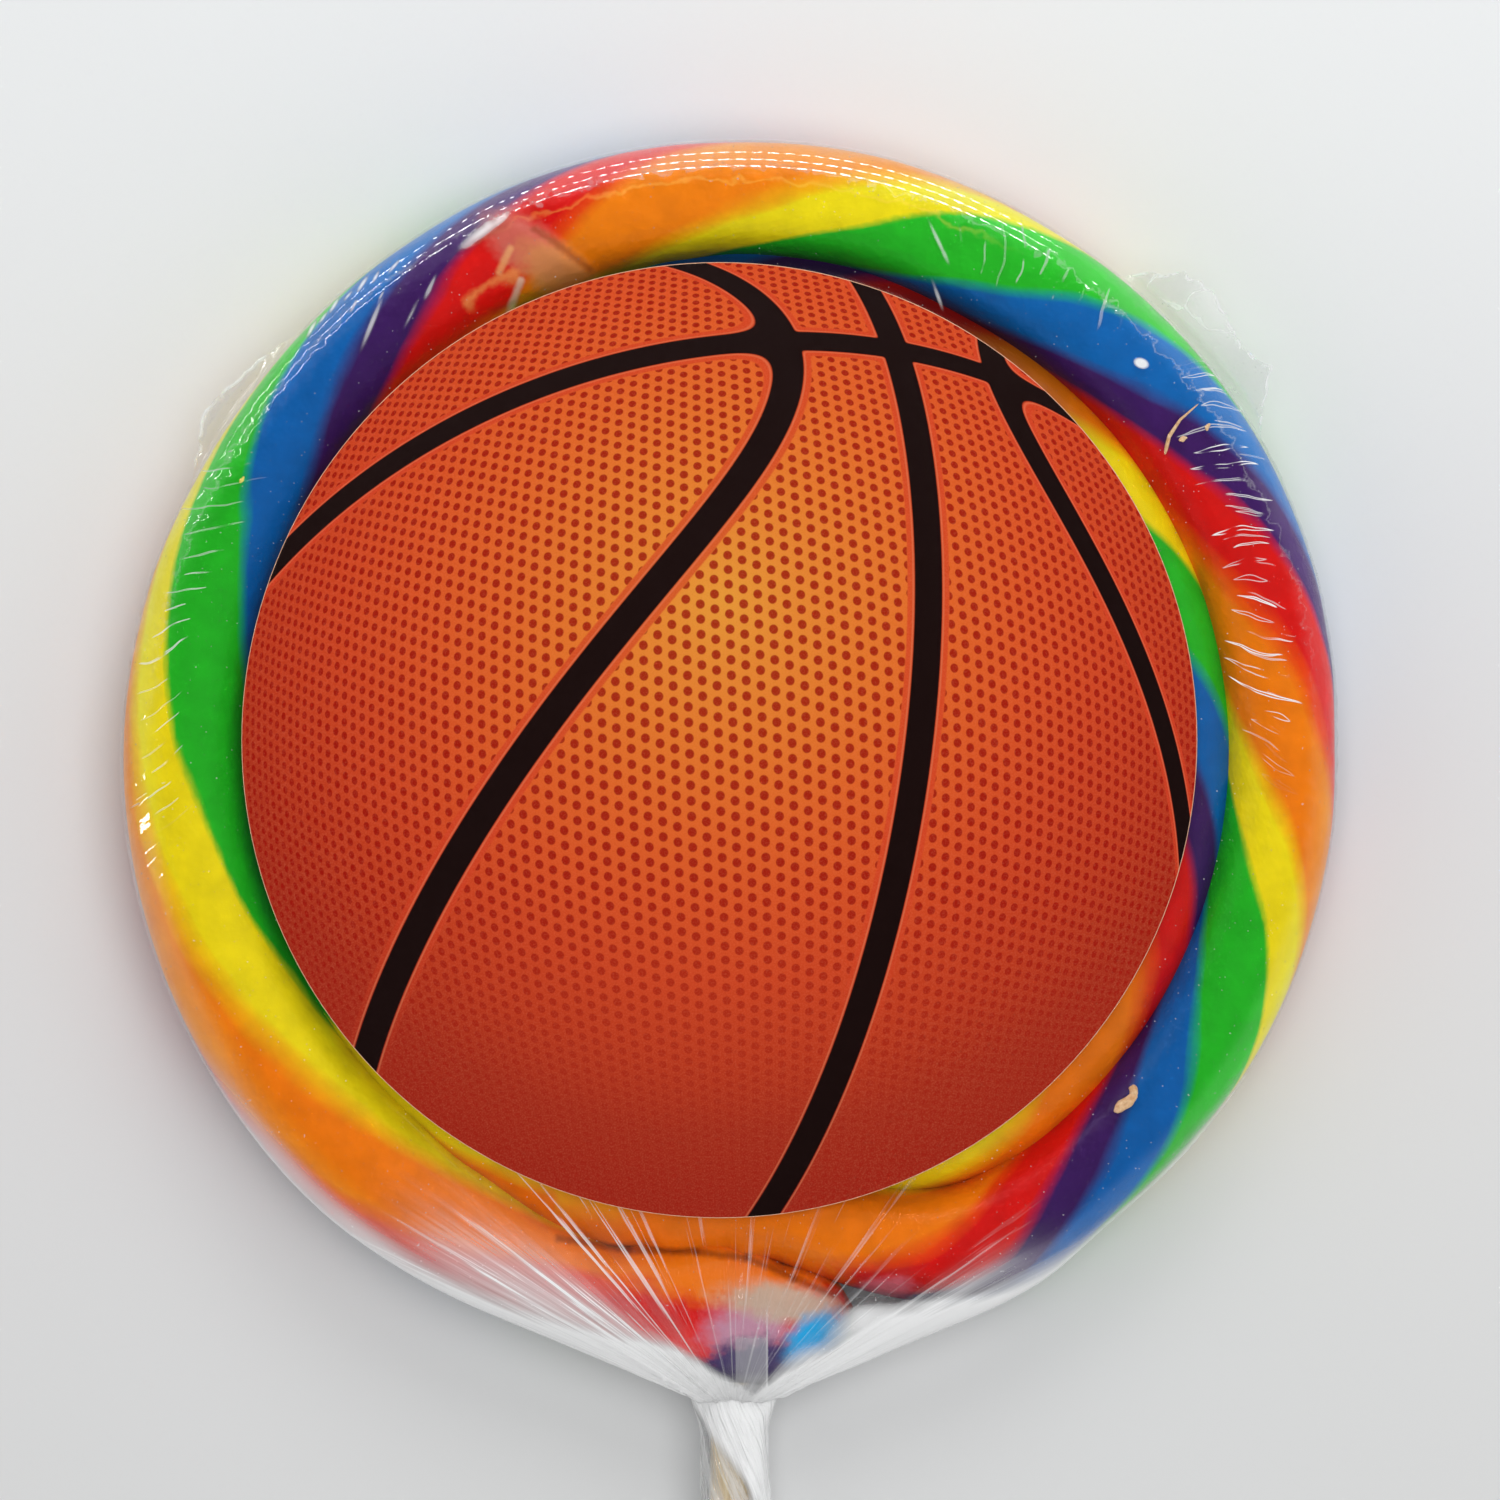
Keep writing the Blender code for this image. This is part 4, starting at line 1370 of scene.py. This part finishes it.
# %% Pebbles
PEBBLE_MIDDLE = (0.44, -0.37)
PEBBLE_BULGE = (0.198, 0.081, 0.125)
PEBBLE_PITCH = (0.948, 1.014)
PEBBLE_LEAN = 0.0295
PEBBLE_SHIFT = 0.331
PEBBLE_EDGE = (0.36, 0.26)

dot_x, dot_y = x - PEBBLE_MIDDLE[0], y - PEBBLE_MIDDLE[1]
far = (dot_x * dot_x + dot_y * dot_y) / 1000
bulge = ((far * PEBBLE_BULGE[2] + PEBBLE_BULGE[1]) * far + PEBBLE_BULGE[0]) * far + 1
pebble_x = (dot_x + dot_y * PEBBLE_LEAN) * bulge / PEBBLE_PITCH[0]
pebble_y = dot_y * bulge / PEBBLE_PITCH[1]
shifted = pebble_y + pebble_x.math("FLOOR") * PEBBLE_SHIFT
cell_x = pebble_x - pebble_x.math("FLOOR") - 0.5
cell_y = shifted - shifted.math("FLOOR") - 0.5
from_dot = plan_length(cell_x, cell_y)
dots = from_dot.step(*PEBBLE_EDGE) * (1 - margin)

# %% [markdown]
# The ball is shaded by rings of orange round a bright spot above its middle. The dots, the
# margin, a faint paper grain, the outline and the seams are laid over it in this order.

# %% Ball colours
GLOW_MIDDLE = (0.3, 9.2)
GLOW_REACH = 40

from_glow = plan_length(x - GLOW_MIDDLE[0], y - GLOW_MIDDLE[1]) / GLOW_REACH
skin = ball.ramp(from_glow, [
    (0.0, (234, 154, 54)), (0.12, (232, 136, 48)), (0.24, (230, 120, 42)), (0.37, (226, 100, 38)),
    (0.5, (219, 83, 35)), (0.62, (208, 69, 32)), (0.74, (192, 58, 28)), (0.86, (170, 46, 25)),
    (0.97, (162, 37, 21))])
dot_colour = ball.mix(skin, linear((160, 12, 2)), 0.92)
dot_fade = y.step(-26.0, -8.0) * 0.7 + 0.3
skin = ball.mix(skin, dot_colour, dots * dot_fade)
skin = ball.mix(skin, linear((212, 62, 33)), margin * 0.75 * y.step(-24.0, -4.0))
print_grain = ball.noise(card_place, 9.0, 2.0, 0.6)
skin = ball.mix(skin, linear((250, 150, 110)), (print_grain - 0.45).clip() * 0.4)
skin = ball.mix(skin, linear((150, 30, 6)), (0.45 - print_grain).clip() * 0.5)
skin = ball.mix(skin, linear((226, 130, 90)), outline * 0.45)
skin = ball.mix(skin, linear((20, 5, 4)), seam)
card_fibre = ball.noise(card_place, 2.2, 1.0)
print_round.data.materials.append(ball.done(ball.shader(
    Base_Color=skin, Roughness=0.5 + card_fibre * 0.15, Specular_IOR_Level=0.12,
    Normal=ball.bump(card_fibre, 0.04, 0.4))))

# %% [markdown]
# The cut edge and the back of the card show the bare stock, which took some of the ink.

# %% Card edge material
card_stock = Finish("card_stock")
fibre = card_stock.noise(card_stock.place(CARD_MIDDLE), 3.0, 4.0)
stock_colour = card_stock.ramp(fibre, [(0.3, (214, 160, 128)), (0.7, (232, 188, 158))])
print_round.data.materials.append(card_stock.done(card_stock.shader(
    Base_Color=stock_colour, Roughness=0.75, Normal=card_stock.bump(fibre, 0.05, 0.5))))

# %% [markdown]
# ## Floor and light
#
# The lollipop lies on a pale sheet. Its colour is painted a little lighter towards the top, as
# painted light, over a faint random unevenness.

# %% Floor
FLOOR_HALF = 1600
bm = bmesh.new()
bmesh.ops.create_grid(bm, x_segments=1, y_segments=1, size=FLOOR_HALF * MM)
floor = finished("floor", bm)
paper = Finish("pale_paper")
x, y, _ = paper.parts(paper.place(MIDDLE))
# Painted light: the sheet's colour gets lighter towards the top; the noise is its own unevenness.
tone_and_painted_light = paper.noise(paper.join(x, y, 0), 0.02, 2.0) * 0.1 + (y + 80) / 200
floor.data.materials.append(paper.done(paper.shader(
    Base_Color=paper.ramp(tone_and_painted_light, [(0.15, (225, 226, 226)), (0.45, (231, 231, 232)),
                                 (0.7, (243, 245, 246))]),
    Roughness=0.9, Specular_IOR_Level=0.1)))
floor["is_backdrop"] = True

# %% [markdown]
# Soft light comes from the whole sky, except straight above, where a bright sky would lie on the
# film as a grey veil. Two soft boxes, one overhead and one beyond the top edge, give the shadows
# their direction.

# %% Soft light
room = Finish("soft_room", bpy.data.worlds)
_, _, up = room.parts(room.node("TexCoord"))
ceiling = up.step(0.9, 0.55) * 0.55 + 0.05
bpy.context.scene.world = room.done(room.node("Background", None, {
    "Color": (1, 1, 1, 1), "Strength": ceiling}), "OutputWorld")


def soft_lamp(name, place, size, power):
    """A square soft box that looks at the coil's middle, and isn't seen in reflections."""
    lamp = bpy.data.lights.new(name, "AREA")
    lamp.size = size * MM
    lamp.energy = power
    holder = bpy.data.objects.new(name, lamp)
    holder.location = (MIDDLE + Vector(place)) * MM
    holder.rotation_euler = (-Vector(place)).to_track_quat("-Z", "Y").to_euler()
    holder.visible_glossy = False
    bpy.context.scene.collection.objects.link(holder)


soft_lamp("overhead_soft_box", (110, 0, 760), 600, 3.1)
soft_lamp("top_soft_box", (60, 380, 330), 260, 0.6)

# %% [markdown]
# Three rows of small lamps beyond the top edge are seen only in reflections: a curved clear film
# turns each row into a dashed white line along the rim. The lamps get narrower to the left, and
# so do the dashes. A column of longer lamps on the left puts one short stroke on the left rim.

# %% Rows of small lamps
LAMP_DISTANCE = 400
LAMP_ELEVATIONS = (4, 26, 42)
LAMP_NUMBERS = range(-40, 22)
LAMP_PITCH = 1.5
LAMP_WIDTHS = (4.6, 6.6)
WIDER_SPAN = (-14, -2)
LAMP_HEIGHT = 14
BAR_BEARING = 262
BAR_ELEVATIONS = range(14, 44, 6)
BAR_SIZE = (6, 42)
LAMP_STRENGTH = 30.0


def add_lamp(bm, bearing, elevation, size):
    """A flat lamp on a dome round the coil, facing its middle."""
    level, rise = math.cos(math.radians(elevation)), math.sin(math.radians(elevation))
    angle = math.radians(bearing)
    way = Vector((math.sin(angle) * level, math.cos(angle) * level, rise))
    stand = (Matrix.Translation(MIDDLE + way * LAMP_DISTANCE)
             @ way.to_track_quat("Z", "Y").to_matrix().to_4x4()
             @ Matrix.Diagonal((*size, 1, 1)))
    bmesh.ops.create_grid(bm, x_segments=1, y_segments=1, size=0.5, matrix=stand)


bm = bmesh.new()
for elevation in LAMP_ELEVATIONS:
    narrowing = math.cos(math.radians(elevation))
    for number in LAMP_NUMBERS:
        width = blend(*LAMP_WIDTHS, smooth_step(*WIDER_SPAN, number)) * narrowing
        add_lamp(bm, number * LAMP_PITCH, elevation, (width, LAMP_HEIGHT))
for elevation in BAR_ELEVATIONS:
    add_lamp(bm, BAR_BEARING, elevation, BAR_SIZE)
bmesh.ops.scale(bm, verts=bm.verts, vec=(MM,) * 3)
lamp_rows = finished("lamp_rows", bm)
glow = Finish("lamp_glow")
lamp_rows.data.materials.append(glow.done(glow.node(
    "Emission", None, {"Color": (1, 1, 1, 1), "Strength": LAMP_STRENGTH})))
glow.material.cycles.emission_sampling = "NONE"
lamp_rows.visible_camera = False
lamp_rows.visible_diffuse = False
lamp_rows.visible_shadow = False
lamp_rows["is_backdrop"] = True

# %% Size
visual_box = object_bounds()
for axis, low, high, new_low, new_high in zip("xyz", *cad_box, *visual_box):
    print(f"{axis}: packed {low / MM:.1f} to {high / MM:.1f} mm, "
          f"made {new_low / MM:.1f} to {new_high / MM:.1f} mm")
